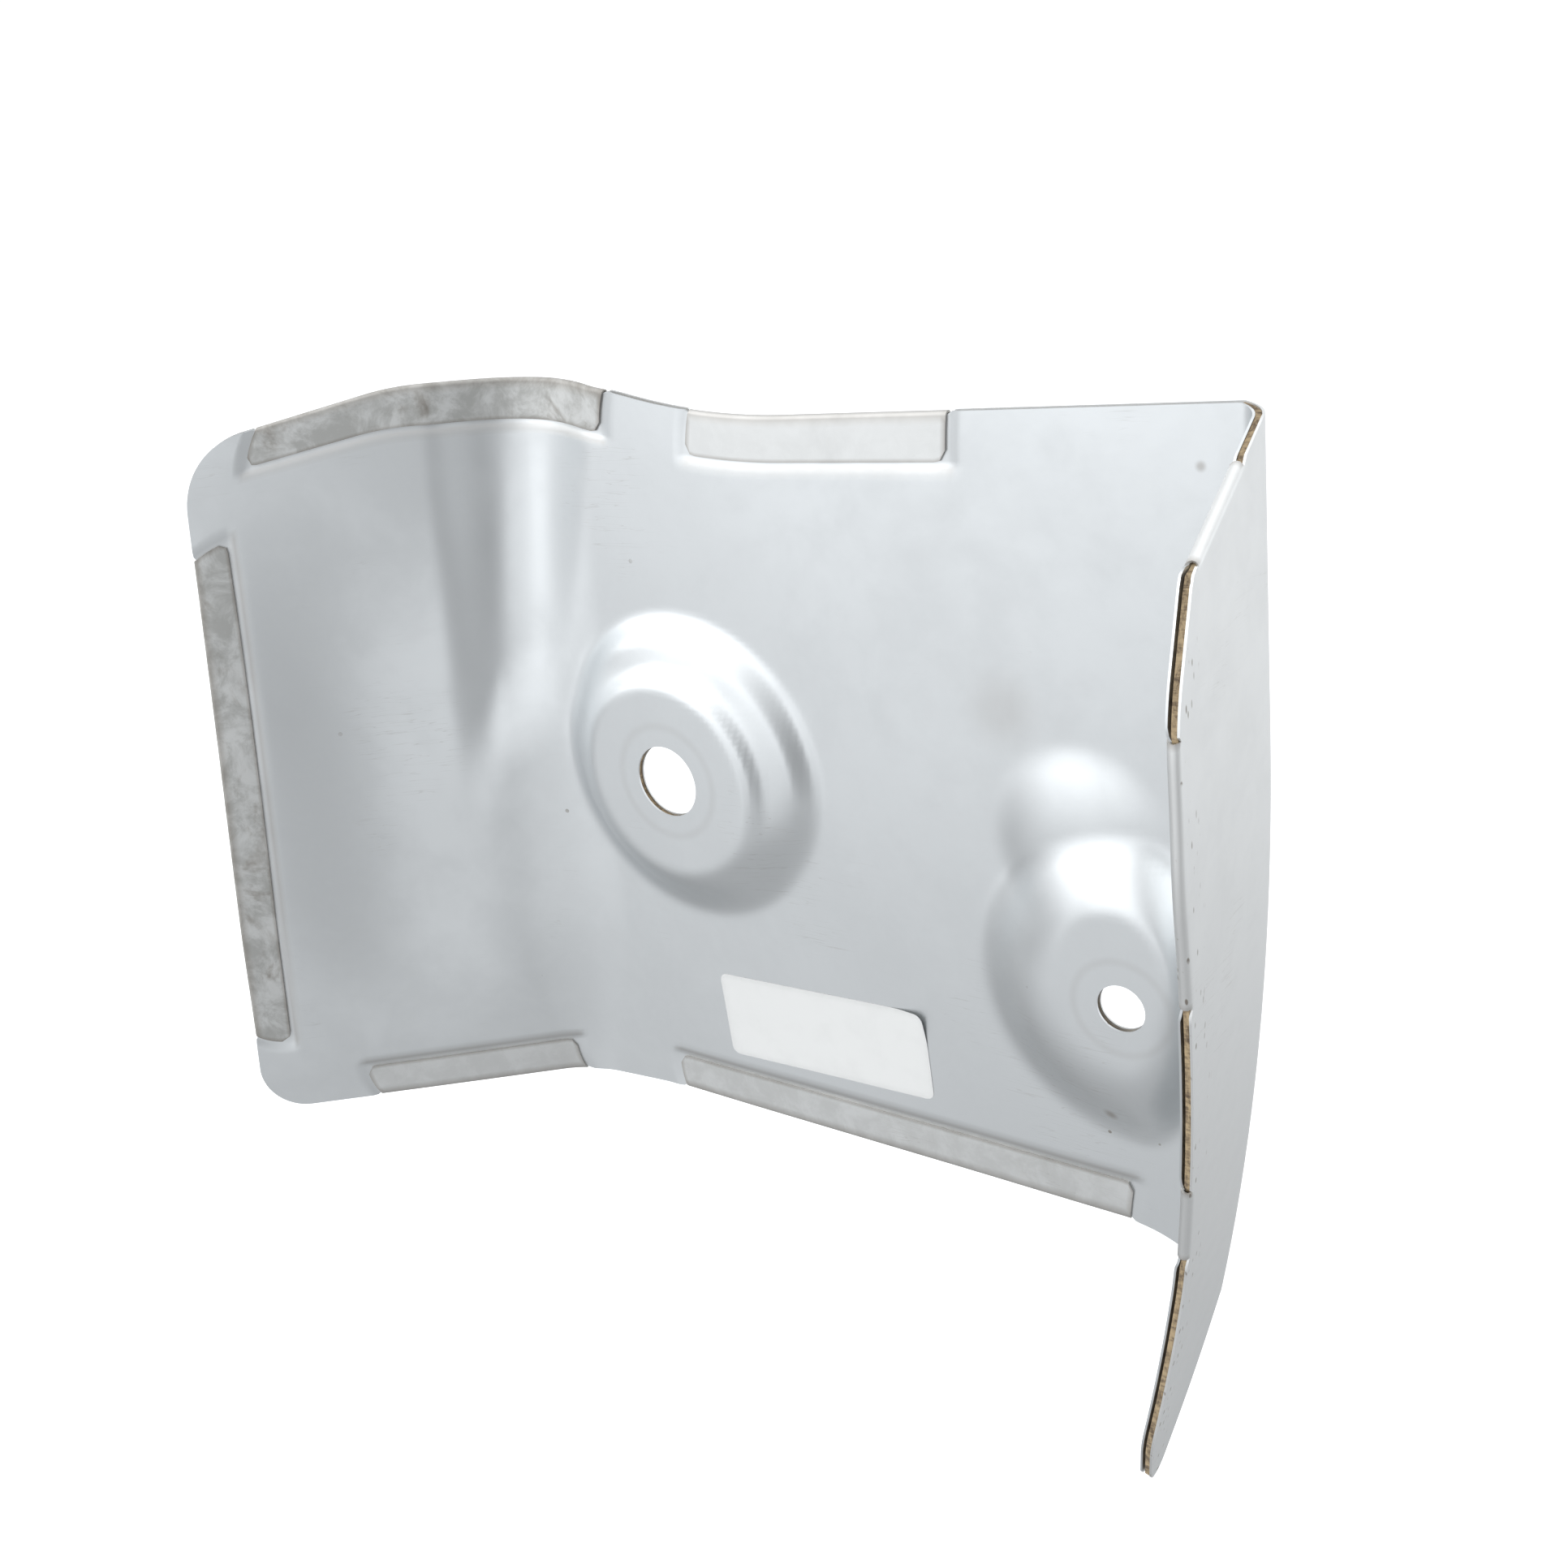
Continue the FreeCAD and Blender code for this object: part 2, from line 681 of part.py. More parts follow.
def main():
    document = FreeCAD.newDocument("heat_shield")
    make_sheet(document)
    gauge = dim("sheet_gauge")
    mat = dim("mat_gauge")
    hem_face = make_press(document, "press_hem_face", -gauge, rounded=False)
    inner_face = make_press(document, "press_inner_face", gauge * 0, rounded=True)
    mat_face = make_press(document, "press_mat_face", gauge * 1, rounded=False)
    outer_face = make_press(document, "press_outer_face", gauge + mat, rounded=False)
    back_face = make_press(document, "press_back_face", gauge * 2 + mat, rounded=False)
    blank = make_blank(document, "blank", None)
    core = make_blank(document, "core_blank", dim("hem_wall"))
    holes = bolt_holes(document)

    # inner sheet and mat lie between neighbouring press faces, drawn in to clear the hems
    inner_layer = cut(document, "inner_layer", mat_face, inner_face)
    mat_layer = cut(document, "mat_layer", outer_face, mat_face)
    pack_layer = cut(document, "pack_layer", outer_face, inner_face)
    inner_trim = common(document, "inner_trim", inner_layer, core)
    mat_trim = common(document, "mat_trim", mat_layer, core)
    pack = common(document, "pack", pack_layer, core)

    # the outer sheet wraps round that pack in the hem zones and ends behind it elsewhere
    wrap_layer = cut(document, "wrap_layer", back_face, hem_face)
    wrap = common(document, "wrap", wrap_layer, blank)
    zones = fuse(document, "hem_zones", *hem_zones(document))
    open_front = cut(document, "open_front", outer_face, zones)
    hemmed = cut(document, "hemmed_wrap", wrap, open_front)
    outer_trim = cut(document, "outer_trim", hemmed, pack)

    nodes = []
    for label, solid in (("outer_sheet", outer_trim), ("insulation_mat", mat_trim), ("inner_sheet", inner_trim)):
        node = cut(document, label, solid, holes)
        node.Label = label
        nodes.append(node)
    document.recompute()
    check(document, nodes)

    os.makedirs("parts", exist_ok=True)
    for node in nodes:
        box = node.Shape.BoundBox
        print(node.Label, len(node.Shape.Solids), "solids", round(node.Shape.Volume, 1), "mm3",
              [round(value, 1) for value in (box.XMin, box.YMin, box.ZMin, box.XMax, box.YMax, box.ZMax)])
        node.Shape.exportStep(f"parts/{node.Label}.step")


main()
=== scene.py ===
"""Pressed heat shield for an engine bay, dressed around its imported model.

The shield is a sandwich of an inner sheet, a fibre mat and an outer sheet. All three follow one press
form: a wing, a valley bend, a panel with two bosses and a flange. The outer sheet is folded over the
rim in eight short hems. Lengths are metres in the part's own frame: X across the panel to the flange,
Y through the panel away from the bolt heads and Z up.
"""

import json
import math

import bmesh
import bpy
import numpy as np
from mathutils import Euler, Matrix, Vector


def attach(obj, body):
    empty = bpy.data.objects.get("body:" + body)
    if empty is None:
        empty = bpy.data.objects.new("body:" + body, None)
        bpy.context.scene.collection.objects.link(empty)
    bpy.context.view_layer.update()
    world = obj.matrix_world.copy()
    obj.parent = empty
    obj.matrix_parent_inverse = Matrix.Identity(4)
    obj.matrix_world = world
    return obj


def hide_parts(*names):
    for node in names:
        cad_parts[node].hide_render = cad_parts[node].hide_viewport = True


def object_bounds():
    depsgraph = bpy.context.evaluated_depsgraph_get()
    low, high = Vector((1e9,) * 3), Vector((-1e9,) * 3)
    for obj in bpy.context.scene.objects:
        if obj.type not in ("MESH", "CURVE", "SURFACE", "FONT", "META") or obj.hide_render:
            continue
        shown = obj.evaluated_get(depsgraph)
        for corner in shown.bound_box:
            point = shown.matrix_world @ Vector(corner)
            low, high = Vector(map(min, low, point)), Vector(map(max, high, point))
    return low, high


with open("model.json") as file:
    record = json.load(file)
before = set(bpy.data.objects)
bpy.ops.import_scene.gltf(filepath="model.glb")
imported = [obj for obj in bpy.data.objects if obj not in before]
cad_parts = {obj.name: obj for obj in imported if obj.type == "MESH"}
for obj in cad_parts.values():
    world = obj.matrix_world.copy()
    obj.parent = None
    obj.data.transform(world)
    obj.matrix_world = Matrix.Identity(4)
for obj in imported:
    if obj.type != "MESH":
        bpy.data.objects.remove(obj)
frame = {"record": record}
CAD_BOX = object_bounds()

bl_info = {
    "name": "Pressed Heat Shield",
    "version": (1, 0, 0),
    "blender": (4, 5, 0),
    "location": "View3D > Sidebar > Heat Shield",
    "description": "Models a pressed sandwich heat shield around its packed frame",
    "category": "Object",
}

MM = 0.001
QUARTER_TURN = 0.5 * math.pi
MOUNTS = {mount["name"]: mount for mount in frame["record"]["mounts"]}
CENTRE_X, _, CENTRE_Z = MOUNTS["centre_hole"]["pos_m"]

# Corners of the flat outlines in millimetres, each with the radius that turns it.
PANEL_FOOT_CORNERS = ((17.0, -61.4, 0.0), (5.0, -49.4, 24.0), (-118.0, -49.4, 60.0))
PANEL_TOP_CORNERS = ((-112.0, 108.7, 150.0), (-80.0, 101.1, 150.0))
WING_HEEL = (80.5, -6.5, 10.0)
WING_CORNER = (69.3, 151.5, 18.0)
WING_SHOULDER = (24.5, 162.3, 60.0)
WING_VALLEY_FOOT = (0.0, 0.6, 60.0)
WING_VALLEY_TOP = (0.0, 162.3, 100.0)
FLANGE_NOSE = (-21.8, 83.0, 3.0)
FLANGE_TIP = (-9.0, -96.35, 3.0)
FLANGE_HEEL = (4.6, -57.8)
FLANGE_CORNERS = (
    FLANGE_NOSE,
    (-28.5, 64.0, 40.0),
    (-28.5, 38.0, 80.0),
    (-17.3, -38.0, 80.0),
    (-16.8, -78.0, 20.0),
    FLANGE_TIP,
)
# Depth at which the flange's top edge starts, height of the fold's foot, height at which the tongue under
# it starts, and length of rim on either side of the tongue's tip that makes its foot, in millimetres.
FLANGE_TOP_Y = 7.5
FOLD_FOOT = -55.46
TONGUE_TOP = -60.0
TIP_REACH = 2.0

# Rough lengths of the grids and the step of the mat's grid in millimetres, which set how many points they
# get, and the number of points along the fold.
PANEL_ACROSS = 235.0
PANEL_UP = 157.0
FLANGE_ACROSS = 32.0
TONGUE_UP = 40.0
MAT_STEP = 2.3
FOLD_POINTS = 400

# Stretches of rim with a hem: from and to along the flat sheet in millimetres, and how soiled it is.
PANEL_HEMS = (
    ("top", -178.9, -103.6, 1.0),
    ("top", -84.0, -28.0, 0.15),
    ("foot", -193.2, -142.4, 0.3),
    ("foot", -113.0, -4.0, 0.4),
    ("left", 14.0, 129.0, 1.0),
)
FLANGE_HEMS = (("top", -20.0, -2.0, 0.1), ("front", 18.0, 61.0, 0.05), ("front", -34.0, -18.0, 0.05))

# Distances of the first rows in from a rim, in millimetres: close where a flap ends.
RIM_ROWS = (0.0, 1.6, 2.8, 4.0, 5.2, 6.4, 7.4, 8.2, 8.9, 9.6, 10.4, 11.4)
# A grid with wider steps than this takes every second of those rows.
COARSE_STEP = 2.0

# Channel in the valley: left and right edge beside the valley line at heights along it, and the ridge
# that closes its lower end, all in millimetres.
CHANNEL_HEIGHTS = (60.0, 95.0, 120.0, 162.0)
CHANNEL_LEFT = (-23.0, -22.5, -21.0, -19.0)
CHANNEL_RIGHT = (3.0, 6.0, 11.0, 20.0)
RIDGE_BESIDE = (-20.5, -9.6, 4.0, 20.0)
RIDGE_HEIGHT = (69.0, 87.0, 94.0, 99.0)
# Heights over the ridge between which the channel opens, and how deep it is at heights along the valley.
RIDGE_FOOT, RIDGE_CREST = -9.0, 18.0
FADE_HEIGHTS, FADE_SHARES = (70.0, 165.0), (0.35, 1.0)
# Heights along the valley between which its bend opens from the foot's radius to the full one.
BEND_OPENS, BEND_OPEN = 4.0, 45.0

# Marks on the inner sheet: place, radius and soft edge in millimetres, whether it is a ring, and strength.
SHEET_SPOTS = (
    (0.0, 0.0, 9.0, 1.3, True, 0.10),
    (1000.0 * CENTRE_X, 1000.0 * CENTRE_Z, 11.8, 1.5, True, 0.09),
    (-5.4, -25.3, 0.2, 1.7, False, 0.55),
    (14.5, 91.8, 0.2, 1.0, False, 0.4),
    # The broad soft spot up and left of the side boss is painted shade on the panel.
    (-23.0, 50.0, 1.0, 9.0, False, 0.16),
)

# Shallow dish in the wing: its middle beside and up the valley line and its reach, in millimetres.
DISH_BESIDE, DISH_HEIGHT = -40.0, 76.0
DISH_HALF_WIDTH, DISH_HALF_HEIGHT = 29.0, 66.0

# Slow waves of the sheet: height, radians per metre across and up the panel, and start. Two waves that
# cross make small dents, and all of them fade within these distances of the fold, in millimetres.
SHEET_WAVES = ((1.0, 71.0, 43.0, 0.6), (0.7, 39.0, -88.0, 2.1))
DENT_RISE = 0.5
DENT_ACROSS = (163.0, 1.3)
DENT_UP = (127.0, 0.4)
CALM_NEAR, CALM_FAR = 6.0, 22.0

# Flank of the centre boss: share of its drop above and below the terrace, and where each part runs.
UPPER_DROP, UPPER_START, UPPER_END = 0.42, 0.0, 0.32
LOWER_DROP, LOWER_START, LOWER_END = 0.58, 0.60, 1.05
# Directions across and up the panel in which the terrace shows and the side boss stands steeper, each
# with how far a place has to face that way for it to start and to be full.
TERRACE_WAY, TERRACE_EASE = (0.55, 0.83), (-0.1, 0.6)
STEEP_WAY, STEEP_EASE = (0.3, 0.95), (-0.1, 0.9)
# Side boss: how much wider its seat is on the steep side, and the power and softness of its dome on the
# gentle side with what the steep side takes off them; then power and softness of the lobe.
STEEP_SEAT = 0.55
DOME_POWER, STEEP_POWER = 2.1, 0.65
DOME_SOFT, STEEP_SOFT = 0.46, 0.2
LOBE_POWER, LOBE_SOFT = 2.2, 0.35

# How far the rims of the layers are pulled in, at an open edge and inside a hem, and the short ramp
# between the two at a hem's ends, in millimetres.
OUTER_PULL = (0.0, 0.875)
INNER_PULL = (0.1, 0.7)
MAT_PULL = (1.2, 1.1)
MAT_FLANGE_PULL = (0.25, 1.1)
PULL_RAMP = 0.01
# Seats of the hems in millimetres: depth, ramp past a hem's ends, where their inner side starts and ends
# past the flap, and the band of painted shade in the groove on either side of the flap's edge.
COIN_DEPTH = 0.47
SEAT_END_RAMP = 1.8
SEAT_NEAR, SEAT_FAR = 0.4, 2.0
OUTLINE_SHADE_INSIDE, OUTLINE_SHADE_OUTSIDE = 0.2, 0.9
# How far the inner sheet gapes at the flange's open edge, how far in and how far past a hem's end it
# does so, and the depth of the nicked band there, in millimetres.
EDGE_GAPE = 0.45
GAPE_DEPTH, GAPE_RAMP = 4.0, 2.5
NICK_DEPTH = 9.0
# How much thinner the mat is than its space, and how far it draws back from the holes, in millimetres.
MAT_CLEARANCE = 0.06
MAT_SPARE = {"bolt_hole": 0.7, "centre_hole": 0.3}
# The two ways that the mat's fibres run: how much the pattern is drawn out, and its turn.
FIBRE_RUNS = (
    ((300.0, 900.0, 1100.0), (0.0, 0.7, 0.3)),
    ((900.0, 900.0, 260.0), (0.2, 0.3, 0.0)),
)

# Middle of a flap behind the pack's front face where it is coined in or stands proud, and the radius of
# its corners, in millimetres.
FLAP_COINED = 0.25
FLAP_PROUD = -0.22
FLAP_CORNER = 2.0
# How strongly the flaps are tinted and their rolled edges darkened as painted shade, and how much duller
# the outer sheet is.
FLAP_TINT = 0.9
COINED_EDGE_SHADE = 0.85
PROUD_EDGE_SHADE = 0.1
OUTER_DULLER = 0.12

# Rows of points round the fold and round a hem's roll, and shares of a flap's width with a row each.
BEND_STEPS = 6
ROLL_STEPS = 6
FLAP_SHARES = (0.2, 0.4, 0.6, 0.78, 0.9, 1.0)
# Sides of the holes, length of their cutters in millimetres, and the degrees over which an edge is sharp.
HOLE_SIDES = 96
CUTTER_DEPTH = 12.0
SMOOTH_ANGLE = 40.0
# Distances in millimetres: between points of an outline, between points that are merged, and the step
# over which slopes are measured.
PATH_STEP = 0.25
MERGE_DISTANCE = 0.02
SLOPE_STEP = 0.1

# Label: points round a corner, up and across it, and in millimetres its stand on the sheet, the reach of
# its lifted corner and the width of its soiled edge.
LABEL_CORNER_POINTS, LABEL_UP_POINTS, LABEL_ACROSS_POINTS = 6, 14, 48
LABEL_STAND, LABEL_LIFT_REACH, LABEL_EDGE = 0.01, 9.0, 1.5

# Light of the surroundings over the height of the look: from and to, and what it adds at either end.
SKY_STEPS = ((-0.8, 0.05, 0.53, 1.24), (-0.3, -0.05, 0.0, 0.28), (0.2, 0.75, 0.0, -0.4))
# Dim parts of the studio: direction, then where the dimming starts and is full, then what is left.
DIM_SIDES = (
    ((0.70, -0.70, -0.09), 0.875, 0.94, 0.46),
    ((0.60, -0.77, 0.21), 0.84, 0.94, 0.50),
    ((-0.80, 0.40, -0.45), 0.64, 0.94, 0.55),
    ((-0.88, -0.46, -0.12), 0.90, 0.985, 0.50),
    ((-0.09, -0.985, -0.14), 0.95, 0.995, 0.78),
    ((-0.52, 0.76, 0.38), 0.72, 0.95, 0.50),
    ((0.37, 0.92, 0.14), 0.87, 0.97, 0.80),
)
SKY_TINT = (0.96, 0.98, 1.0, 1.0)
WHITE = (1.0, 1.0, 1.0, 1.0)
# Width of the camera's sensor in millimetres.
SENSOR_WIDTH = 36.0
# Side of the floor, and places and sizes of the soft lights, in metres.
FLOOR_SIZE = 8.0
SOFT_BOX = ((-0.75, -0.75, 0.95), 1.3)
TOP_PANEL = ((0.1, 0.2, 1.3), 1.0)


def length(name, description, millimetres):
    """Property for a length, with its default given in millimetres."""
    return bpy.props.FloatProperty(
        name=name, description=description, default=millimetres * MM, unit="LENGTH", precision=5
    )


def angle(name, description, degrees):
    """Property for an angle, with its default given in degrees."""
    return bpy.props.FloatProperty(
        name=name, description=description, default=math.radians(degrees), unit="ROTATION"
    )


def colour(name, description, value):
    """Property for a colour."""
    return bpy.props.FloatVectorProperty(
        name=name, description=description, default=value, subtype="COLOR", size=3, min=0.0, max=1.0
    )


def amount(name, description, value, highest=1.0):
    """Property for a plain amount."""
    return bpy.props.FloatProperty(
        name=name, description=description, default=value, min=0.0, max=highest, subtype="FACTOR"
    )


class ShieldSizes(bpy.types.PropertyGroup):
    """Sizes of the press form and of the layers."""

    sheet_gauge: length("Sheet gauge", "Thickness of each aluminised sheet", 0.4)
    mat_gauge: length("Mat gauge", "Thickness of the fibre mat", 1.0)
    grid_step: length("Grid step", "Distance between points of the sheets", 1.15)
    boss_rise: length("Boss rise", "Height of both bosses over the panel", 7.0)
    centre_base: length("Centre boss radius", "Radius of the centre boss at its foot", 33.0)
    centre_seat: length("Centre boss seat", "Radius of the centre boss's seat", 19.5)
    side_base: length("Side boss radius", "Radius of the side boss at its foot", 28.8)
    side_seat: length("Side boss seat", "Radius of the side boss's seat", 11.5)
    side_gap: length("Side boss gap", "Gap between the side boss and the fold", 3.5)
    lobe_x: length("Lobe X", "Middle of the side boss's upper lobe across the panel", -9.5)
    lobe_z: length("Lobe Z", "Middle of the side boss's upper lobe up the panel", 27.5)
    lobe_radius: length("Lobe radius", "Radius of that lobe at its foot", 15.5)
    lobe_share: amount("Lobe rise", "Height of that lobe as a share of the boss", 0.34)
    terrace: amount("Terrace", "How much the upper flanks level out half way", 0.72)
    valley_x: length("Valley foot X", "Foot of the valley line across the panel", -141.7)
    valley_z: length("Valley foot Z", "Foot of the valley line up the panel", -51.8)
    valley_tilt: angle("Valley tilt", "Lean of the valley line from upright", 5.5)
    valley_radius: length("Valley radius", "Radius of the bend between panel and wing", 46.0)
    valley_foot_radius: length("Valley foot radius", "Radius of that bend at its foot", 22.0)
    wing_angle: angle("Wing angle", "Turn of the wing towards the viewer", 38.0)
    wing_dish: length("Wing dish", "Depth of the shallow dish in the wing", 2.7)
    channel_depth: length("Channel depth", "Depth of the channel at the top rim", 4.3)
    panel_top: length("Panel top", "Upper edge of the panel beside the flange", 101.1)
    fold_x: length("Fold", "Inner face of the flange across the panel", 23.3)
    fold_radius: length("Fold radius", "Inner radius of the flange's fold", 2.4)
    bow_start: length("Bow start", "Height below which the fold bows", 52.0)
    bow_radius: length("Bow radius", "Radius of the fold's bow", 559.0)
    bow_angle: angle("Bow angle", "Turn of the fold at the end of its bow", 14.0)
    hem_width: length("Hem width", "Width of the folded hems", 8.5)
    waves: length("Waves", "Height of the sheet's slight unevenness", 0.12)


class LabelSizes(bpy.types.PropertyGroup):
    """Sizes of the plain paper label."""

    place_x: length("Label X", "Middle of the label across the panel", -71.2)
    place_z: length("Label Z", "Middle of the label up the panel", -25.6)
    width: length("Label width", "Width of the label", 51.5)
    height: length("Label height", "Height of the label", 19.5)
    corner: length("Label corner", "Radius of its corners", 1.8)
    gauge: length("Label gauge", "Thickness of the paper", 0.12)
    tilt: angle("Label tilt", "Turn of the label on the panel", 1.8)
    lift: length("Label lift", "How far its upper right corner has come away", 0.9)


class ShieldFinish(bpy.types.PropertyGroup):
    """Colours and gloss of the finishes."""

    metal: colour("Metal", "Colour of the inner sheet", (0.735, 0.755, 0.765))
    outer_metal: colour("Outer metal", "Colour of the outer sheet's paler side", (0.775, 0.782, 0.778))
    hem_tint: colour("Hem tint", "Colour of the handled, slightly soiled hems", (0.44, 0.44, 0.425))
    # Also the colour of the painted shade round the flaps and up and left of the side boss.
    soil: colour("Soil", "Colour of specks and soiled patches", (0.24, 0.20, 0.16))
    metal_gloss: amount("Metal roughness", "Roughness of the satin sheet", 0.34)
    fibre: colour("Fibre", "Colour of the mat", (0.33, 0.25, 0.15))
    fibre_dark: colour("Fibre shade", "Colour between the fibres", (0.08, 0.055, 0.035))
    paper: colour("Paper", "Colour of the label", (0.56, 0.565, 0.56))


class StageSettings(bpy.types.PropertyGroup):
    """Floor, light and camera."""

    floor: colour("Floor", "Colour of the floor", (0.90, 0.90, 0.90))
    floor_drop: length("Floor drop", "Gap between the shield and the floor", 1.0)
    key_power: bpy.props.FloatProperty(
        name="Key power", description="Power of the soft box on the left", default=9.0, unit="POWER"
    )
    fill_power: bpy.props.FloatProperty(
        name="Fill power", description="Power of the light overhead", default=2.5, unit="POWER"
    )
    camera_place: bpy.props.FloatVectorProperty(
        name="Camera place",
        description="Where the camera stands",
        default=(0.1085, -0.21703, 0.13709),
        subtype="TRANSLATION",
        unit="LENGTH",
    )
    camera_azimuth: angle("Camera azimuth", "Turn of the camera about the upright", 38.99)
    camera_elevation: angle("Camera elevation", "Downward look of the camera", 20.38)
    camera_roll: angle("Camera roll", "Roll of the camera", -7.57)
    camera_lens: bpy.props.FloatProperty(
        name="Camera lens", description="Focal length in millimetres on a 36 mm sensor", default=36.07
    )


def smooth_step(value, low, high):
    """Ease from 0 at low to 1 at high."""
    share = np.clip((value - low) / (high - low), 0.0, 1.0)
    return share * share * (3.0 - 2.0 * share)


def smooth_max(first, second, reach):
    """Larger of two fields, blended where they differ by less than reach."""
    blend = np.clip(0.5 + 0.5 * (first - second) / reach, 0.0, 1.0)
    return second + (first - second) * blend + reach * blend * (1.0 - blend)


def unit(vectors):
    """Vectors scaled to length 1."""
    return vectors / np.linalg.norm(vectors, axis=-1, keepdims=True)


def rounded_path(corners):
    """Points along a line of corners, each turned with its own radius."""
    places = [np.array(corner[:2]) for corner in corners]
    points = [places[0]]
    for index in range(1, len(corners) - 1):
        to_before = unit(places[index - 1] - places[index])
        to_after = unit(places[index + 1] - places[index])
        half = 0.5 * math.acos(np.clip(to_before @ to_after, -1.0, 1.0))
        radius = corners[index][2]
        sweep = math.pi - 2.0 * half
        start = places[index] + to_before * radius / math.tan(half)
        end = places[index] + to_after * radius / math.tan(half)
        centre = places[index] + unit(to_before + to_after) * radius / math.sin(half)
        count = max(2, math.ceil(sweep * radius / (PATH_STEP * MM)))
        for share in np.linspace(0.0, 1.0, count + 1):
            near = math.sin((1.0 - share) * sweep)
            far = math.sin(share * sweep)
            points.append(centre + ((start - centre) * near + (end - centre) * far) / math.sin(sweep))
    points.append(places[-1])
    return np.array(points)


def in_metres(corners):
    """Corners and their radii, given in millimetres, in metres."""
    return [tuple(MM * value for value in corner) for corner in corners]


def running_length(path):
    """Distance of each point of a path from its start."""
    return np.concatenate(([0.0], np.cumsum(np.linalg.norm(np.diff(path, axis=0), axis=1))))


def along_path(path, shares):
    """Points at the given shares of a path's length."""
    run = running_length(path)
    places = np.asarray(shares) * run[-1]
    return np.stack([np.interp(places, run, path[:, axis]) for axis in range(path.shape[1])], axis=-1)


def nearest(path, place):
    """Number of the path's point that is nearest to a place."""
    return int(np.argmin(np.linalg.norm(path - np.asarray(place), axis=1)))


def patch(foot, top, left, right, across, up):
    """Grid of points between four border lines."""
    u = across[None, :, None]
    v = up[:, None, None]
    ruled = (1.0 - v) * foot[None] + v * top[None] + (1.0 - u) * left[:, None] + u * right[:, None]
    corners = (1.0 - u) * (1.0 - v) * foot[0] + u * (1.0 - v) * foot[-1]
    return ruled - corners - (1.0 - u) * v * top[0] - u * v * top[-1]


def graded(total, step, first_rim, last_rim):
    """Shares of a length, close together beside a rim and even elsewhere."""
    every = 2 if step > COARSE_STEP * MM else 1
    rows = np.array(RIM_ROWS[::every]) * MM
    low = rows[-1] if first_rim else 0.0
    high = total - (rows[-1] if last_rim else 0.0)
    count = max(2, round((high - low) / step))
    parts = [np.linspace(low, high, count + 1)]
    if first_rim:
        parts.insert(0, rows[:-1])
    if last_rim:
        parts.append(total - rows[-2::-1])
    return np.concatenate(parts) / total


def valley_frame(sizes):
    """Foot of the valley line and the directions along and across it on the flat sheet."""
    foot = np.array([sizes.valley_x, sizes.valley_z])
    along = np.array([math.sin(sizes.valley_tilt), math.cos(sizes.valley_tilt)])
    across = np.array([math.cos(sizes.valley_tilt), -math.sin(sizes.valley_tilt)])
    return foot, along, across


def valley_bend(sizes, height):
    """Radius of the valley bend at a height along it, and the distance of its ends from the corner."""
    opened = smooth_step(height, BEND_OPENS * MM, BEND_OPEN * MM)
    radius = sizes.valley_foot_radius + (sizes.valley_radius - sizes.valley_foot_radius) * opened
    return radius, radius * math.tan(0.5 * sizes.wing_angle)


def wing_place(sizes, corner):
    """Place on the flat sheet of a wing corner, given by its distance from the valley and height."""
    foot, along, across = valley_frame(sizes)
    radius, tangent = valley_bend(sizes, corner[1] * MM)
    saved = 2.0 * tangent - radius * sizes.wing_angle
    place = foot + across * (saved - corner[0] * MM) + along * corner[1] * MM
    return (place[0], place[1], corner[2] * MM)


def beside_valley(sizes, x, z):
    """Distance of points of the flat sheet to the right of the valley line, and their height along it."""
    foot, along, across = valley_frame(sizes)
    beside = (x - foot[0]) * across[0] + (z - foot[1]) * across[1]
    height = (x - foot[0]) * along[0] + (z - foot[1]) * along[1]
    return beside, height


def base_sheet(sizes, x, z):
    """Bend the flat sheet at the valley; give its points and the normals that point to its back."""
    foot, along, across = valley_frame(sizes)
    beside, height = beside_valley(sizes, x, z)
    radius, tangent = valley_bend(sizes, height)
    turn = np.clip((tangent - beside) / radius, 0.0, sizes.wing_angle)
    beyond = np.maximum(tangent - beside - radius * sizes.wing_angle, 0.0)
    place = np.maximum(beside, tangent) - radius * np.sin(turn) - beyond * math.cos(sizes.wing_angle)
    depth = sizes.boss_rise - radius * (1.0 - np.cos(turn)) - beyond * math.sin(sizes.wing_angle)
    bent_x = foot[0] + place * across[0] + height * along[0]
    bent_z = foot[1] + place * across[1] + height * along[1]
    points = np.stack([bent_x, depth, bent_z], axis=-1)
    normals = np.stack([-np.sin(turn) * across[0], np.cos(turn), -np.sin(turn) * across[1]], axis=-1)
    return points, normals


def channel_press(sizes, beside, height):
    """How far the channel in the valley pushes the sheet back, down to the ridge that closes it."""
    beside = beside / MM
    height = height / MM
    left = np.interp(height, CHANNEL_HEIGHTS, CHANNEL_LEFT)
    right = np.interp(height, CHANNEL_HEIGHTS, CHANNEL_RIGHT)
    place = np.clip((2.0 * beside - left - right) / (right - left), -1.0, 1.0)
    ridge = np.interp(beside, RIDGE_BESIDE, RIDGE_HEIGHT)
    opened = smooth_step(height - ridge, RIDGE_FOOT, RIDGE_CREST)
    fade = np.interp(height, FADE_HEIGHTS, FADE_SHARES)
    return sizes.channel_depth * fade * opened * (1.0 - place**2) ** 2


def flank(share, terrace):
    """Share of the way from a seat (0) to the foot (1), levelled out half way by the terrace."""
    upper = UPPER_DROP * smooth_step(share, UPPER_START, UPPER_END)
    lower = LOWER_DROP * smooth_step(share, LOWER_START, LOWER_END)
    steps = upper + lower
    return (1.0 - terrace) * smooth_step(share, 0.0, 1.0) + terrace * steps


def dome(share, power, soft):
    """Height of a dome from its middle (0) to its softened foot (1)."""
    rise = 1.0 - share**power
    return smooth_max(rise, np.zeros_like(rise), soft)


def facing(x, z, way):
    """How far places look along a way from the middle, from -1 to 1."""
    away = np.maximum(np.hypot(x, z), 1.0 * MM)
    return (way[0] * x + way[1] * z) / away


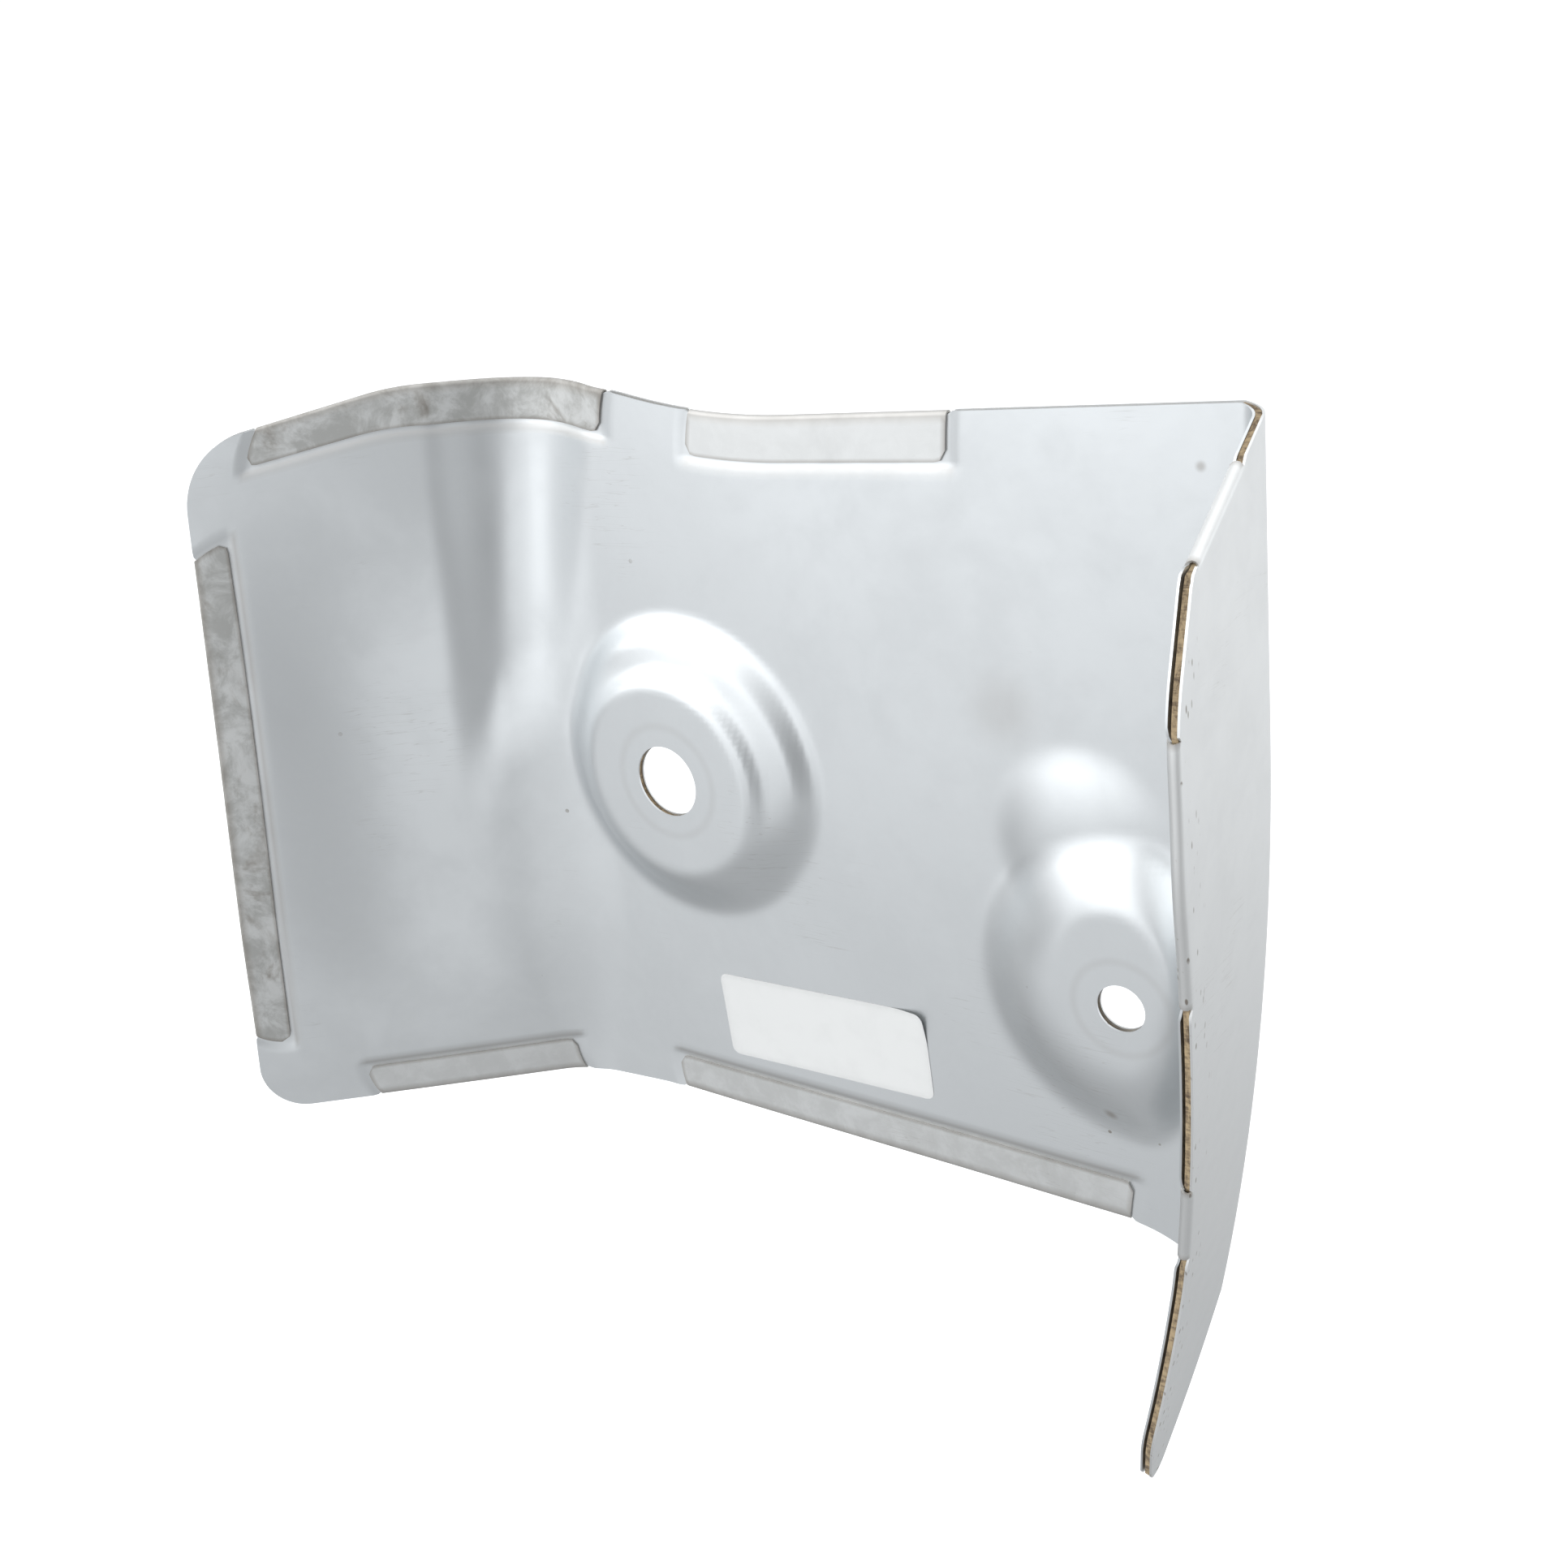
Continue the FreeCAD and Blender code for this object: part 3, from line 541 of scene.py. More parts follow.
def centre_boss(sizes, x, z):
    """What the centre boss leaves of the panel's depth: 0 on its seat and 1 past its foot."""
    x = x - CENTRE_X
    z = z - CENTRE_Z
    share = (np.hypot(x, z) - sizes.centre_seat) / (sizes.centre_base - sizes.centre_seat)
    terraced = smooth_step(facing(x, z, TERRACE_WAY), *TERRACE_EASE)
    return flank(share, sizes.terrace * terraced)


def side_boss(sizes, x, z):
    """Height of the side boss and its lobe as a share of the rise, narrowed on the fold's side."""
    fold, _ = fold_line(sizes, z)
    right = fold - sizes.fold_radius - sizes.side_gap
    beside = np.where(x > 0.0, x * sizes.side_base / right, x)
    steep = smooth_step(facing(beside, z, STEEP_WAY), *STEEP_EASE)
    seat = sizes.side_seat * (1.0 + STEEP_SEAT * steep)
    share = np.maximum((np.hypot(beside, z) - seat) / (sizes.side_base - seat), 0.0)
    main = dome(share, DOME_POWER - STEEP_POWER * steep, DOME_SOFT - STEEP_SOFT * steep)
    away = np.hypot(x - sizes.lobe_x, z - sizes.lobe_z) / sizes.lobe_radius
    lobe = sizes.lobe_share * dome(away, LOBE_POWER, LOBE_SOFT)
    return main + lobe - main * lobe


def press_bosses(sizes, points):
    """Press both bosses towards the viewer, out of whatever sheet lies behind them."""
    x, depth, z = points[..., 0], points[..., 1], points[..., 2]
    depth = depth * centre_boss(sizes, x, z)
    depth = depth * (1.0 - side_boss(sizes, x, z))
    return np.stack([x, depth, z], axis=-1)


def front_face(sizes, x, z):
    """Front of the pressed pack over the flat sheet of wing and panel."""
    points, normals = base_sheet(sizes, x, z)
    beside, height = beside_valley(sizes, x, z)
    dish_across = np.clip((beside - DISH_BESIDE * MM) / (DISH_HALF_WIDTH * MM), -1.0, 1.0)
    dish_up = np.clip((height - DISH_HEIGHT * MM) / (DISH_HALF_HEIGHT * MM), -1.0, 1.0)
    dish = sizes.wing_dish * (1.0 - dish_across**2) ** 2 * (1.0 - dish_up**4) ** 2
    calm = smooth_step(sizes.fold_x - x, CALM_NEAR * MM, CALM_FAR * MM)
    waves = 0.0
    for rise, over_x, over_z, start in SHEET_WAVES:
        waves = waves + rise * np.sin(x * over_x + z * over_z + start)
    dents_across = np.sin(x * DENT_ACROSS[0] + DENT_ACROSS[1])
    waves = waves + DENT_RISE * dents_across * np.sin(z * DENT_UP[0] + DENT_UP[1])
    push = channel_press(sizes, beside, height) + dish + 0.5 * sizes.waves * calm * waves
    return press_bosses(sizes, points + normals * push[..., None])


def front_face_with_normals(sizes, x, z):
    """Front of the pressed pack and its normals, which point to the back."""
    step = SLOPE_STEP * MM
    over_x = front_face(sizes, x + step, z) - front_face(sizes, x - step, z)
    over_z = front_face(sizes, x, z + step) - front_face(sizes, x, z - step)
    return front_face(sizes, x, z), unit(np.cross(over_z, over_x))


def fold_line(sizes, z):
    """Place of the flange's inner face at each height, and how far the bow has turned it."""
    bow = sizes.bow_radius * math.sin(sizes.bow_angle)
    below = np.clip(sizes.bow_start - z, 0.0, bow)
    turn = np.arcsin(below / sizes.bow_radius)
    beyond = np.maximum(sizes.bow_start - z - bow, 0.0)
    place = sizes.fold_x - sizes.bow_radius * (1.0 - np.cos(turn)) - beyond * math.tan(sizes.bow_angle)
    return place, turn


def fold_face(sizes, z, swing):
    """Points of the fold at heights z, swung from panel (0) to flange (a right angle)."""
    place, turn = fold_line(sizes, z)
    out = np.stack([np.cos(turn), np.zeros_like(turn), -np.sin(turn)], axis=-1)
    radius = sizes.fold_radius
    points = np.stack([place, sizes.boss_rise - radius * (1.0 - np.cos(swing)) + 0.0 * z, z], axis=-1)
    points = points - out * (radius * (1.0 - np.sin(swing)))[..., None]
    normals = out * np.sin(swing)[..., None]
    normals[..., 1] += np.cos(swing)
    return points, normals


def flange_face(sizes, y, z):
    """Points of the flange's inner face and the normals that point out of the shield."""
    place, turn = fold_line(sizes, z)
    points = np.stack([place, y, z], axis=-1)
    normals = np.stack([np.cos(turn), np.zeros_like(turn), -np.sin(turn)], axis=-1)
    return points, normals


def side_view(grid, side):
    """View of a grid whose first axis runs inwards from one side."""
    if side == "foot":
        return grid
    if side == "top":
        return grid[::-1]
    if side == "left":
        return np.swapaxes(grid, 0, 1)
    return np.swapaxes(grid, 0, 1)[::-1]


class PressBlock:
    """Grid of points on the front face of the pack, with its rims and its hems.

    Each rim has its measure along the flat sheet. Coined says whether the hems lie flush in pressed seats,
    as on the panel and wing, or stand proud of the pack, as on the flange.
    """

    def __init__(self, points, normals, rims, hems, coined):
        self.points = points
        self.normals = normals
        self.rims = rims
        self.hems = hems
        self.coined = coined

    def depth(self, side):
        """Distance of each point inwards from one side."""
        rows = side_view(self.points, side)
        steps = np.linalg.norm(np.diff(rows, axis=0), axis=-1)
        return np.concatenate([np.zeros((1, rows.shape[1])), np.cumsum(steps, axis=0)])

    def hem_share(self, side, ramp):
        """1 along the hems of one side, easing to 0 past their ends."""
        measure = self.rims[side]
        share = np.zeros_like(measure)
        for hem_side, start, end, _ in self.hems:
            if hem_side == side:
                rise = smooth_step(measure, start * MM - ramp, start * MM)
                share = np.maximum(share, rise * (1.0 - smooth_step(measure, end * MM, end * MM + ramp)))
        return share

    def seat(self, width):
        """1 where a flap lies on the pack, easing to 0 around it."""
        seat = np.zeros(self.points.shape[:2])
        for side in self.rims if self.coined else ():
            share = self.hem_share(side, SEAT_END_RAMP * MM)
            depth = self.depth(side)
            inward = 1.0 - smooth_step(depth, width + SEAT_NEAR * MM, width + SEAT_FAR * MM)
            view = side_view(seat, side)
            view[...] = np.maximum(view, share[None, :] * inward)
        return seat

    def near_front(self, reach):
        """1 at the flange's front edge, easing to 0 within reach."""
        near = np.zeros(self.points.shape[:2])
        if "front" in self.rims:
            side_view(near, "front")[...] = 1.0 - smooth_step(self.depth("front"), 0.0, reach)
        return near

    def spread(self):
        """1 where the layers gape at the flange's open front edge."""
        gape = self.near_front(GAPE_DEPTH * MM)
        if "front" in self.rims:
            side_view(gape, "front")[...] *= 1.0 - self.hem_share("front", GAPE_RAMP * MM)
        return gape

    def layer(self, offset, pulls):
        """Points at an offset behind the front face, with the open and the hemmed rim pulled in."""
        open_pull, hem_pull = (value * MM for value in pulls)
        points = self.points + self.normals * offset[..., None]
        for side in self.rims:
            hemmed = self.hem_share(side, PULL_RAMP * MM)
            rows = side_view(points, side)
            run = rows[1] - rows[0]
            pull = open_pull + (hem_pull - open_pull) * hemmed
            rows[0] += unit(run) * pull[:, None]
        return points


def panel_block(sizes, step):
    """Wing and panel, from the wing's rim to the start of the fold."""
    heel, corner, shoulder, valley_foot, valley_top = (
        wing_place(sizes, place)
        for place in (WING_HEEL, WING_CORNER, WING_SHOULDER, WING_VALLEY_FOOT, WING_VALLEY_TOP)
    )
    foot_corners = in_metres(PANEL_FOOT_CORNERS)
    top_corners = in_metres(PANEL_TOP_CORNERS)
    _, fold_start = fold_start_line(sizes)
    end = (fold_start[-1][0], fold_start[-1][1], 0.0)
    corners = foot_corners + [valley_foot, heel, corner, shoulder, valley_top] + top_corners + [end]
    path = rounded_path(corners)
    path = path[nearest(path, fold_start[0]):]
    path[0] = fold_start[0]
    at_heel = nearest(path, heel[:2])
    at_corner = nearest(path, corner[:2])
    across = graded(PANEL_ACROSS * MM, step, True, False)
    up = graded(PANEL_UP * MM, step, True, True)
    flat = patch(
        along_path(path[at_heel::-1], across),
        along_path(path[at_corner:], across),
        along_path(path[at_heel:at_corner + 1], up),
        along_path(fold_start, up),
        across,
        up,
    )
    points, normals = front_face_with_normals(sizes, flat[..., 0], flat[..., 1])
    foot, along, _ = valley_frame(sizes)
    rims = {"foot": flat[0, :, 0], "top": flat[-1, :, 0], "left": (flat[:, 0] - foot) @ along}
    return PressBlock(points, normals, rims, PANEL_HEMS, True), up


def fold_start_line(sizes):
    """Heights along the fold and the line on the panel where the fold starts."""
    heights = np.linspace(FOLD_FOOT * MM, sizes.panel_top, FOLD_POINTS)
    points, _ = fold_face(sizes, heights, np.zeros_like(heights))
    return heights, points[:, [0, 2]]


def flange_blocks(sizes, step, up):
    """Fold and flange down to the tongue, and the tongue itself."""
    heights, fold_start = fold_start_line(sizes)
    run = running_length(fold_start)
    fold_heights = np.interp(up * run[-1], run, heights)
    fold_end_y = sizes.boss_rise - sizes.fold_radius
    corners = in_metres(FLANGE_CORNERS)
    start = np.array([FLANGE_TOP_Y * MM, sizes.panel_top])
    nose = np.array(corners[0][:2])
    heel = np.array(FLANGE_HEEL) * MM
    slope = (nose[1] - start[1]) / (nose[0] - start[0])
    top_left = np.array([fold_end_y, start[1] + slope * (fold_end_y - start[0])])
    path = rounded_path([(*top_left, 0.0)] + corners + [(*heel, 0.0)])
    at_nose = nearest(path, nose)
    at_tip = nearest(path, corners[-1][:2])
    front = path[at_nose:at_tip]
    at_tongue = at_nose + int(np.argmin(np.abs(front[:, 1] - TONGUE_TOP * MM)))
    share = (fold_heights - fold_heights[0]) / (fold_heights[-1] - fold_heights[0])
    end_heights = heel[1] + (top_left[1] - heel[1]) * share
    swings = np.linspace(0.0, QUARTER_TURN, BEND_STEPS + 1)[None, :] + 0.0 * share[:, None]
    turned = swings / QUARTER_TURN
    bend_heights = fold_heights[:, None] * (1.0 - turned) + end_heights[:, None] * turned
    bend_points, bend_normals = fold_face(sizes, bend_heights, swings)
    across = graded(FLANGE_ACROSS * MM, step, False, True)
    fold_line_points = np.stack([np.full_like(end_heights, fold_end_y), end_heights], axis=-1)
    tongue_line = np.array([heel, path[at_tongue]])
    flat = patch(
        along_path(tongue_line, across),
        along_path(path[:at_nose + 1], across),
        fold_line_points,
        along_path(path[at_tongue:at_nose - 1:-1], up),
        across,
        up,
    )
    points, normals = flange_face(sizes, flat[..., 0], flat[..., 1])
    points = np.concatenate([bend_points, points[:, 1:]], axis=1)
    normals = np.concatenate([bend_normals, normals[:, 1:]], axis=1)
    rims = {"top": points[-1, :, 1], "front": points[:, -1, 2]}
    upper = PressBlock(points, normals, rims, FLANGE_HEMS, False)
    arc_start = at_tip
    arc_end = at_tip
    while np.linalg.norm(path[arc_start] - path[at_tip]) < TIP_REACH * MM:
        arc_start -= 1
    while np.linalg.norm(path[arc_end] - path[at_tip]) < TIP_REACH * MM and arc_end < len(path) - 2:
        arc_end += 1
    tongue_up = graded(TONGUE_UP * MM, step, True, False)
    flat = patch(
        along_path(path[arc_end:arc_start - 1:-1], across),
        along_path(tongue_line, across),
        along_path(path[arc_end:], tongue_up),
        along_path(path[arc_start:at_tongue - 1:-1], tongue_up),
        across,
        tongue_up,
    )
    points, normals = flange_face(sizes, flat[..., 0], flat[..., 1])
    rims = {"foot": points[0, :, 1], "left": points[:, 0, 2], "front": points[:, -1, 2]}
    return upper, PressBlock(points, normals, rims, (), False)


def press_blocks(sizes, step):
    """All three grids of the pack's front face."""
    panel, up = panel_block(sizes, step)
    return (panel, *flange_blocks(sizes, step, up))


def deselect():
    """Leave nothing selected, in object mode."""
    if bpy.context.object and bpy.context.object.mode != "OBJECT":
        bpy.ops.object.mode_set(mode="OBJECT")
    bpy.ops.object.select_all(action="DESELECT")


def choose(piece):
    """Make one object the only selected and active one."""
    deselect()
    piece.select_set(True)
    bpy.context.view_layer.objects.active = piece


def add_grid(name, points, marks):
    """Add a grid primitive and lay its points on the press form, with a value per point for each mark."""
    deselect()
    rows, columns = points.shape[:2]
    bpy.ops.mesh.primitive_grid_add(x_subdivisions=columns - 1, y_subdivisions=rows - 1, size=1.0)
    piece = bpy.context.object
    piece.name = name
    if len(piece.data.vertices) != rows * columns:
        raise RuntimeError("The grid doesn't have the points that the press form needs")
    piece.data.vertices.foreach_set("co", points.astype(np.float32).ravel())
    for mark, values in marks.items():
        layer = piece.data.attributes.new(mark, "FLOAT", "POINT")
        layer.data.foreach_set("value", np.asarray(values, dtype=np.float32).ravel())
    piece.data.update()
    return piece


def join(pieces):
    """Join objects into the first of them."""
    deselect()
    for piece in pieces:
        piece.select_set(True)
    bpy.context.view_layer.objects.active = pieces[0]
    bpy.ops.object.join()
    return bpy.context.object


def face_one_way(piece, merge):
    """Turn all faces of a sheet the same way, after merging the points that coincide if asked."""
    choose(piece)
    bpy.ops.object.mode_set(mode="EDIT")
    bpy.ops.mesh.select_all(action="SELECT")
    if merge:
        bpy.ops.mesh.remove_doubles(threshold=MERGE_DISTANCE * MM)
    bpy.ops.mesh.normals_make_consistent(inside=False)
    bpy.ops.object.mode_set(mode="OBJECT")


def join_grids(name, grids):
    """Join the grids of one layer and merge their shared points."""
    piece = join(grids)
    piece.name = name
    piece.data.name = name
    face_one_way(piece, merge=True)
    return piece


def thicken(piece, gauge, thin_group="", thin_share=1.0):
    """Give a layer its gauge, thinner where its group has no weight."""
    choose(piece)
    solid = piece.modifiers.new("gauge", "SOLIDIFY")
    solid.thickness = gauge
    solid.offset = 0.0
    solid.use_quality_normals = True
    solid.vertex_group = thin_group
    solid.thickness_vertex_group = thin_share
    bpy.ops.object.modifier_apply(modifier=solid.name)


def pierce(piece, spare):
    """Cut both bolt holes through a layer, each wider by its spare in millimetres."""
    cutters = []
    for name, mount in MOUNTS.items():
        deselect()
        bpy.ops.mesh.primitive_cylinder_add(
            vertices=HOLE_SIDES,
            radius=mount["dims"]["r_mm"] * MM + spare.get(name, 0.0) * MM,
            depth=CUTTER_DEPTH * MM,
            location=mount["pos_m"],
            rotation=(QUARTER_TURN, 0.0, 0.0),
        )
        cutters.append(bpy.context.object)
    cutter = join(cutters)
    choose(piece)
    cut = piece.modifiers.new("holes", "BOOLEAN")
    cut.operation = "DIFFERENCE"
    cut.solver = "EXACT"
    cut.object = cutter
    bpy.ops.object.modifier_apply(modifier=cut.name)
    bpy.data.objects.remove(cutter)


def finish_piece(piece, material, node=""):
    """Shade a piece, give it its material and tie it to the frame."""
    choose(piece)
    bpy.ops.object.shade_smooth_by_angle(angle=math.radians(SMOOTH_ANGLE))
    piece.data.materials.clear()
    piece.data.materials.append(material)
    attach(piece, "root")
    if node:
        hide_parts(node)


def hem_rows(block, hem, sizes):
    """Columns of one stretch of rim, and where each row extruded from them goes."""
    side, start, end, _ = hem
    points = side_view(block.points, side)
    normals = side_view(block.normals, side)
    depth = block.depth(side)
    measure = block.rims[side]
    hemmed = np.flatnonzero((measure >= start * MM) & (measure <= end * MM))
    pack = 2.0 * sizes.sheet_gauge + sizes.mat_gauge
    back = pack - 0.5 * sizes.sheet_gauge
    flap = (FLAP_COINED if block.coined else FLAP_PROUD) * MM
    roll = 0.5 * (back - flap)
    roll_centre = roll + 0.5 * sizes.sheet_gauge

    def at_depth(grid, column, inward):
        return np.array([np.interp(inward, depth[:, column], grid[:, column, axis]) for axis in range(3)])

    rows = []
    for share in np.linspace(0.0, 1.0, ROLL_STEPS + 1)[1:]:
        turn = math.pi * share
        row = {}
        for column in hemmed:
            normal = normals[0, column]
            outward = unit(points[0, column] - points[1, column])
            base = at_depth(points, column, roll_centre) + normal * back
            row[column] = base + outward * roll * math.sin(turn) - normal * roll * (1.0 - math.cos(turn))
        rows.append(row)
    for share in FLAP_SHARES:
        row = {}
        for column in hemmed:
            from_ends = np.abs(measure[column] - measure[hemmed[[0, -1]]])
            corner = max(0.0, 1.0 - from_ends.min() / (FLAP_CORNER * MM))
            width = sizes.hem_width - FLAP_CORNER * MM * (1.0 - math.sqrt(1.0 - corner * corner))
            inward = roll_centre + (width - roll_centre) * share
            row[column] = at_depth(points, column, inward) + at_depth(normals, column, inward) * flap
        rows.append(row)
    return hemmed, rows


def fold_hem(piece, block, hem, sizes):
    """Extrude one stretch of rim round the pack and lay its flap on the front."""
    side, _, _, soil = hem
    edge_shade = COINED_EDGE_SHADE if block.coined else PROUD_EDGE_SHADE
    hemmed, rows = hem_rows(block, hem, sizes)
    numbers = np.arange(block.points[..., 0].size).reshape(block.points.shape[:2])
    rim = side_view(numbers, side)[0]
    choose(piece)
    bpy.ops.object.mode_set(mode="EDIT")
    bpy.ops.mesh.select_mode(type="EDGE")
    bpy.ops.mesh.select_all(action="DESELECT")
    edit = bmesh.from_edit_mesh(piece.data)
    if "column" not in edit.verts.layers.int:
        edit.verts.layers.int.new("column")
    column_layer = edit.verts.layers.int["column"]
    edit.verts.ensure_lookup_table()
    for column in hemmed:
        edit.verts[rim[column]][column_layer] = int(column)
    for first, second in zip(hemmed, hemmed[1:]):
        edit.edges.get((edit.verts[rim[first]], edit.verts[rim[second]])).select = True
    edit.select_flush_mode()
    bmesh.update_edit_mesh(piece.data)
    for number, row in enumerate(rows):
        bpy.ops.mesh.extrude_edges_indiv()
        edit = bmesh.from_edit_mesh(piece.data)
        column_layer = edit.verts.layers.int["column"]
        flap_layer = edit.verts.layers.float["flap"]
        flap_outline_shade_layer = edit.verts.layers.float["flap_outline_shade"]
        for vertex in edit.verts:
            if vertex.select:
                column = vertex[column_layer]
                vertex.co = row[column]
                vertex[flap_layer] = soil
                # Painted shade: a dark line along the flap's inner edge and its ends, and a share of it
                # over the roll.
                at_end = column in (hemmed[0], hemmed[-1])
                soiled_edge = number == len(rows) - 1 or at_end
                vertex[flap_outline_shade_layer] = 1.0 if soiled_edge else edge_shade * (number < ROLL_STEPS)
        bmesh.update_edit_mesh(piece.data)
    bpy.ops.object.mode_set(mode="OBJECT")


def wire(tree, node, inputs):
    """Set or link the inputs of a node by name or number."""
    for name, source in inputs.items():
        if isinstance(source, bpy.types.NodeSocket):
            tree.links.new(source, node.inputs[name])
        else:
            node.inputs[name].default_value = source
    return node


def add_node(tree, kind, inputs=None, **settings):
    """Add a node with its settings and inputs."""
    node = tree.nodes.new(kind)
    for name, value in settings.items():
        setattr(node, name, value)
    return wire(tree, node, inputs or {})


def opaque(plain, share=1.0):
    """Colour for a socket, darkened to a share."""
    return (*[share * part for part in plain], 1.0)


def mix_colours(tree, share, first, second):
    """Colour between two colours."""
    node = add_node(tree, "ShaderNodeMix", data_type="RGBA")
    wire(tree, node, {0: share, 6: first, 7: second})
    return node.outputs[2]


def calculate(tree, operation, first, second=0.0, third=0.0):
    """Value from a Math node."""
    node = add_node(tree, "ShaderNodeMath", operation=operation)
    wire(tree, node, {0: first, 1: second, 2: third})
    return node.outputs[0]


def product(tree, first, second):
    """Product of two values."""
    return calculate(tree, "MULTIPLY", first, second)


def ease(tree, value, low, high, to_low=0.0, to_high=1.0):
    """Value remapped smoothly and held at its ends."""
    node = add_node(tree, "ShaderNodeMapRange", interpolation_type="SMOOTHSTEP")
    wire(tree, node, {0: value, 1: low, 2: high, 3: to_low, 4: to_high})
    return node.outputs[0]


def noise(tree, place, scale, detail=3.0, roughness=0.55, distortion=0.0):
    """Value of a noise texture."""
    node = add_node(tree, "ShaderNodeTexNoise", {"Vector": place, "Scale": scale})
    wire(tree, node, {"Detail": detail, "Roughness": roughness, "Distortion": distortion})
    return node.outputs["Fac"]


def new_group(name, inputs, outputs):
    """Shader node group with named inputs and outputs."""
    group = bpy.data.node_groups.new(name, "ShaderNodeTree")
    for socket, kind in inputs:
        group.interface.new_socket(socket, in_out="INPUT", socket_type=kind)
    for socket, kind in outputs:
        group.interface.new_socket(socket, in_out="OUTPUT", socket_type=kind)
    start = group.nodes.new("NodeGroupInput")
    end = group.nodes.new("NodeGroupOutput")
    return group, start.outputs, end.inputs


def stretch(tree, place, scale, turn=(0.0, 0.0, 0.0)):
    """Place stretched and turned by a Mapping node."""
    node = add_node(tree, "ShaderNodeMapping")
    wire(tree, node, {"Vector": place, "Scale": scale, "Rotation": turn})
    return node.outputs[0]


def sheet_wear_group():
    """Smudges, specks, scratches and fine grain of a handled sheet."""
    if "Sheet wear" in bpy.data.node_groups:
        return bpy.data.node_groups["Sheet wear"]
    tree, given, put = new_group(
        "Sheet wear",
        (("Place", "NodeSocketVector"), ("Speck size", "NodeSocketFloat")),
        (
            ("Smudge", "NodeSocketFloat"),
            ("Specks", "NodeSocketFloat"),
            ("Scratches", "NodeSocketFloat"),
            ("Grain", "NodeSocketFloat"),
        ),
    )
    place = given["Place"]
    broad = noise(tree, place, scale=26.0, detail=4.0, roughness=0.6, distortion=0.6)
    cloud = noise(tree, place, scale=120.0, detail=3.0, roughness=0.6, distortion=0.3)
    smudge = calculate(tree, "MULTIPLY_ADD", cloud, 0.35, product(tree, broad, 0.65))
    tree.links.new(ease(tree, smudge, 0.38, 0.66), put["Smudge"])
    cells = add_node(tree, "ShaderNodeTexVoronoi", {"Vector": place, "Scale": 95.0})
    patchy = ease(tree, noise(tree, place, scale=60.0), 0.52, 0.70)
    dot = calculate(tree, "LESS_THAN", cells.outputs["Distance"], given["Speck size"])
    tree.links.new(product(tree, dot, patchy), put["Specks"])
    strokes = stretch(tree, place, (40.0, 40.0, 900.0), (0.3, 0.5, 0.0))
    drawn = noise(tree, strokes, scale=1.0, detail=2.0)
    from_line = calculate(tree, "ABSOLUTE", calculate(tree, "SUBTRACT", drawn, 0.5))
    line = ease(tree, from_line, 0.0, 0.012, 1.0, 0.0)
    where = ease(tree, noise(tree, place, scale=34.0), 0.56, 0.68)
    tree.links.new(product(tree, line, where), put["Scratches"])
    grain = noise(tree, place, scale=1500.0, detail=2.0)
    tree.links.new(calculate(tree, "MULTIPLY_ADD", cloud, 0.6, grain), put["Grain"])
    return tree


def new_material(name):
    """Empty node material with its Principled shader and the object's own coordinates."""
    material = bpy.data.materials.new(name)
    material.use_nodes = True
    tree = material.node_tree
    shader = tree.nodes["Principled BSDF"]
    place = add_node(tree, "ShaderNodeTexCoord").outputs["Object"]
    return material, tree, shader, place


def bump(tree, height, strength, distance):
    """Normal from a height."""
    node = add_node(tree, "ShaderNodeBump")
    wire(tree, node, {"Height": height, "Strength": strength, "Distance": distance})
    return node.outputs[0]


def spot_mark(tree, place, centre_x, centre_z, radius, soft, ring):
    """Mask of a spot, or of a ring of that radius, on the panel."""
    flat = add_node(tree, "ShaderNodeVectorMath", operation="MULTIPLY")
    wire(tree, flat, {0: place, 1: (1.0, 0.0, 1.0)})
    away = add_node(tree, "ShaderNodeVectorMath", operation="DISTANCE")
    wire(tree, away, {0: flat.outputs[0], 1: (centre_x, 0.0, centre_z)})
    beyond = calculate(tree, "SUBTRACT", away.outputs["Value"], radius)
    if ring:
        beyond = calculate(tree, "ABSOLUTE", beyond)
    return ease(tree, beyond, 0.0, soft, 1.0, 0.0)


def mark_value(tree, name):
    """Value of one of the piece's own marks."""
    return add_node(tree, "ShaderNodeAttribute", attribute_name=name).outputs["Fac"]


def hem_blots(tree, place, flap):
    """Blots on the most soiled hems."""
    blots = noise(tree, place, scale=62.0, detail=5.0, roughness=0.65, distortion=0.5)
    return product(tree, ease(tree, blots, 0.55, 0.72, 0.0, 0.55), product(tree, flap, flap))


def edge_chips(tree, place, nick):
    """Small chips in the finish beside the flange's front edge."""
    cells = stretch(tree, place, (900.0, 900.0, 330.0), (0.06, 0.0, 0.0))
    chips = add_node(tree, "ShaderNodeTexVoronoi", {"Vector": cells, "Scale": 1.0}).outputs["Distance"]
    chips = ease(tree, chips, 0.14, 0.27, 1.0, 0.0)
    chips = product(tree, chips, ease(tree, noise(tree, place, scale=240.0), 0.46, 0.57))
    return product(tree, chips, product(tree, nick, 0.8))


def sheet_soil_and_shade(tree, place, wear, spots):
    """Share of soil and painted shade: the strongest of specks, blots, chips, painted groove shade,
    scratches and spots.
    """
    shares = [
        product(tree, wear.outputs["Specks"], 0.7),
        hem_blots(tree, place, mark_value(tree, "flap")),
        edge_chips(tree, place, mark_value(tree, "nick")),
        # Painted shade in the groove round each flap, along its edges and over its roll.
        product(tree, mark_value(tree, "flap_outline_shade"), 0.42),
        product(tree, wear.outputs["Scratches"], 0.18),
    ]
    for *sizes, ring, strength in spots:
        centre_x, centre_z, radius, soft = (size * MM for size in sizes)
        spot = spot_mark(tree, place, centre_x, centre_z, radius, soft, ring)
        shares.append(product(tree, spot, strength))
    soiled = shares[0]
    for share in shares[1:]:
        soiled = calculate(tree, "MAXIMUM", soiled, share)
    return soiled


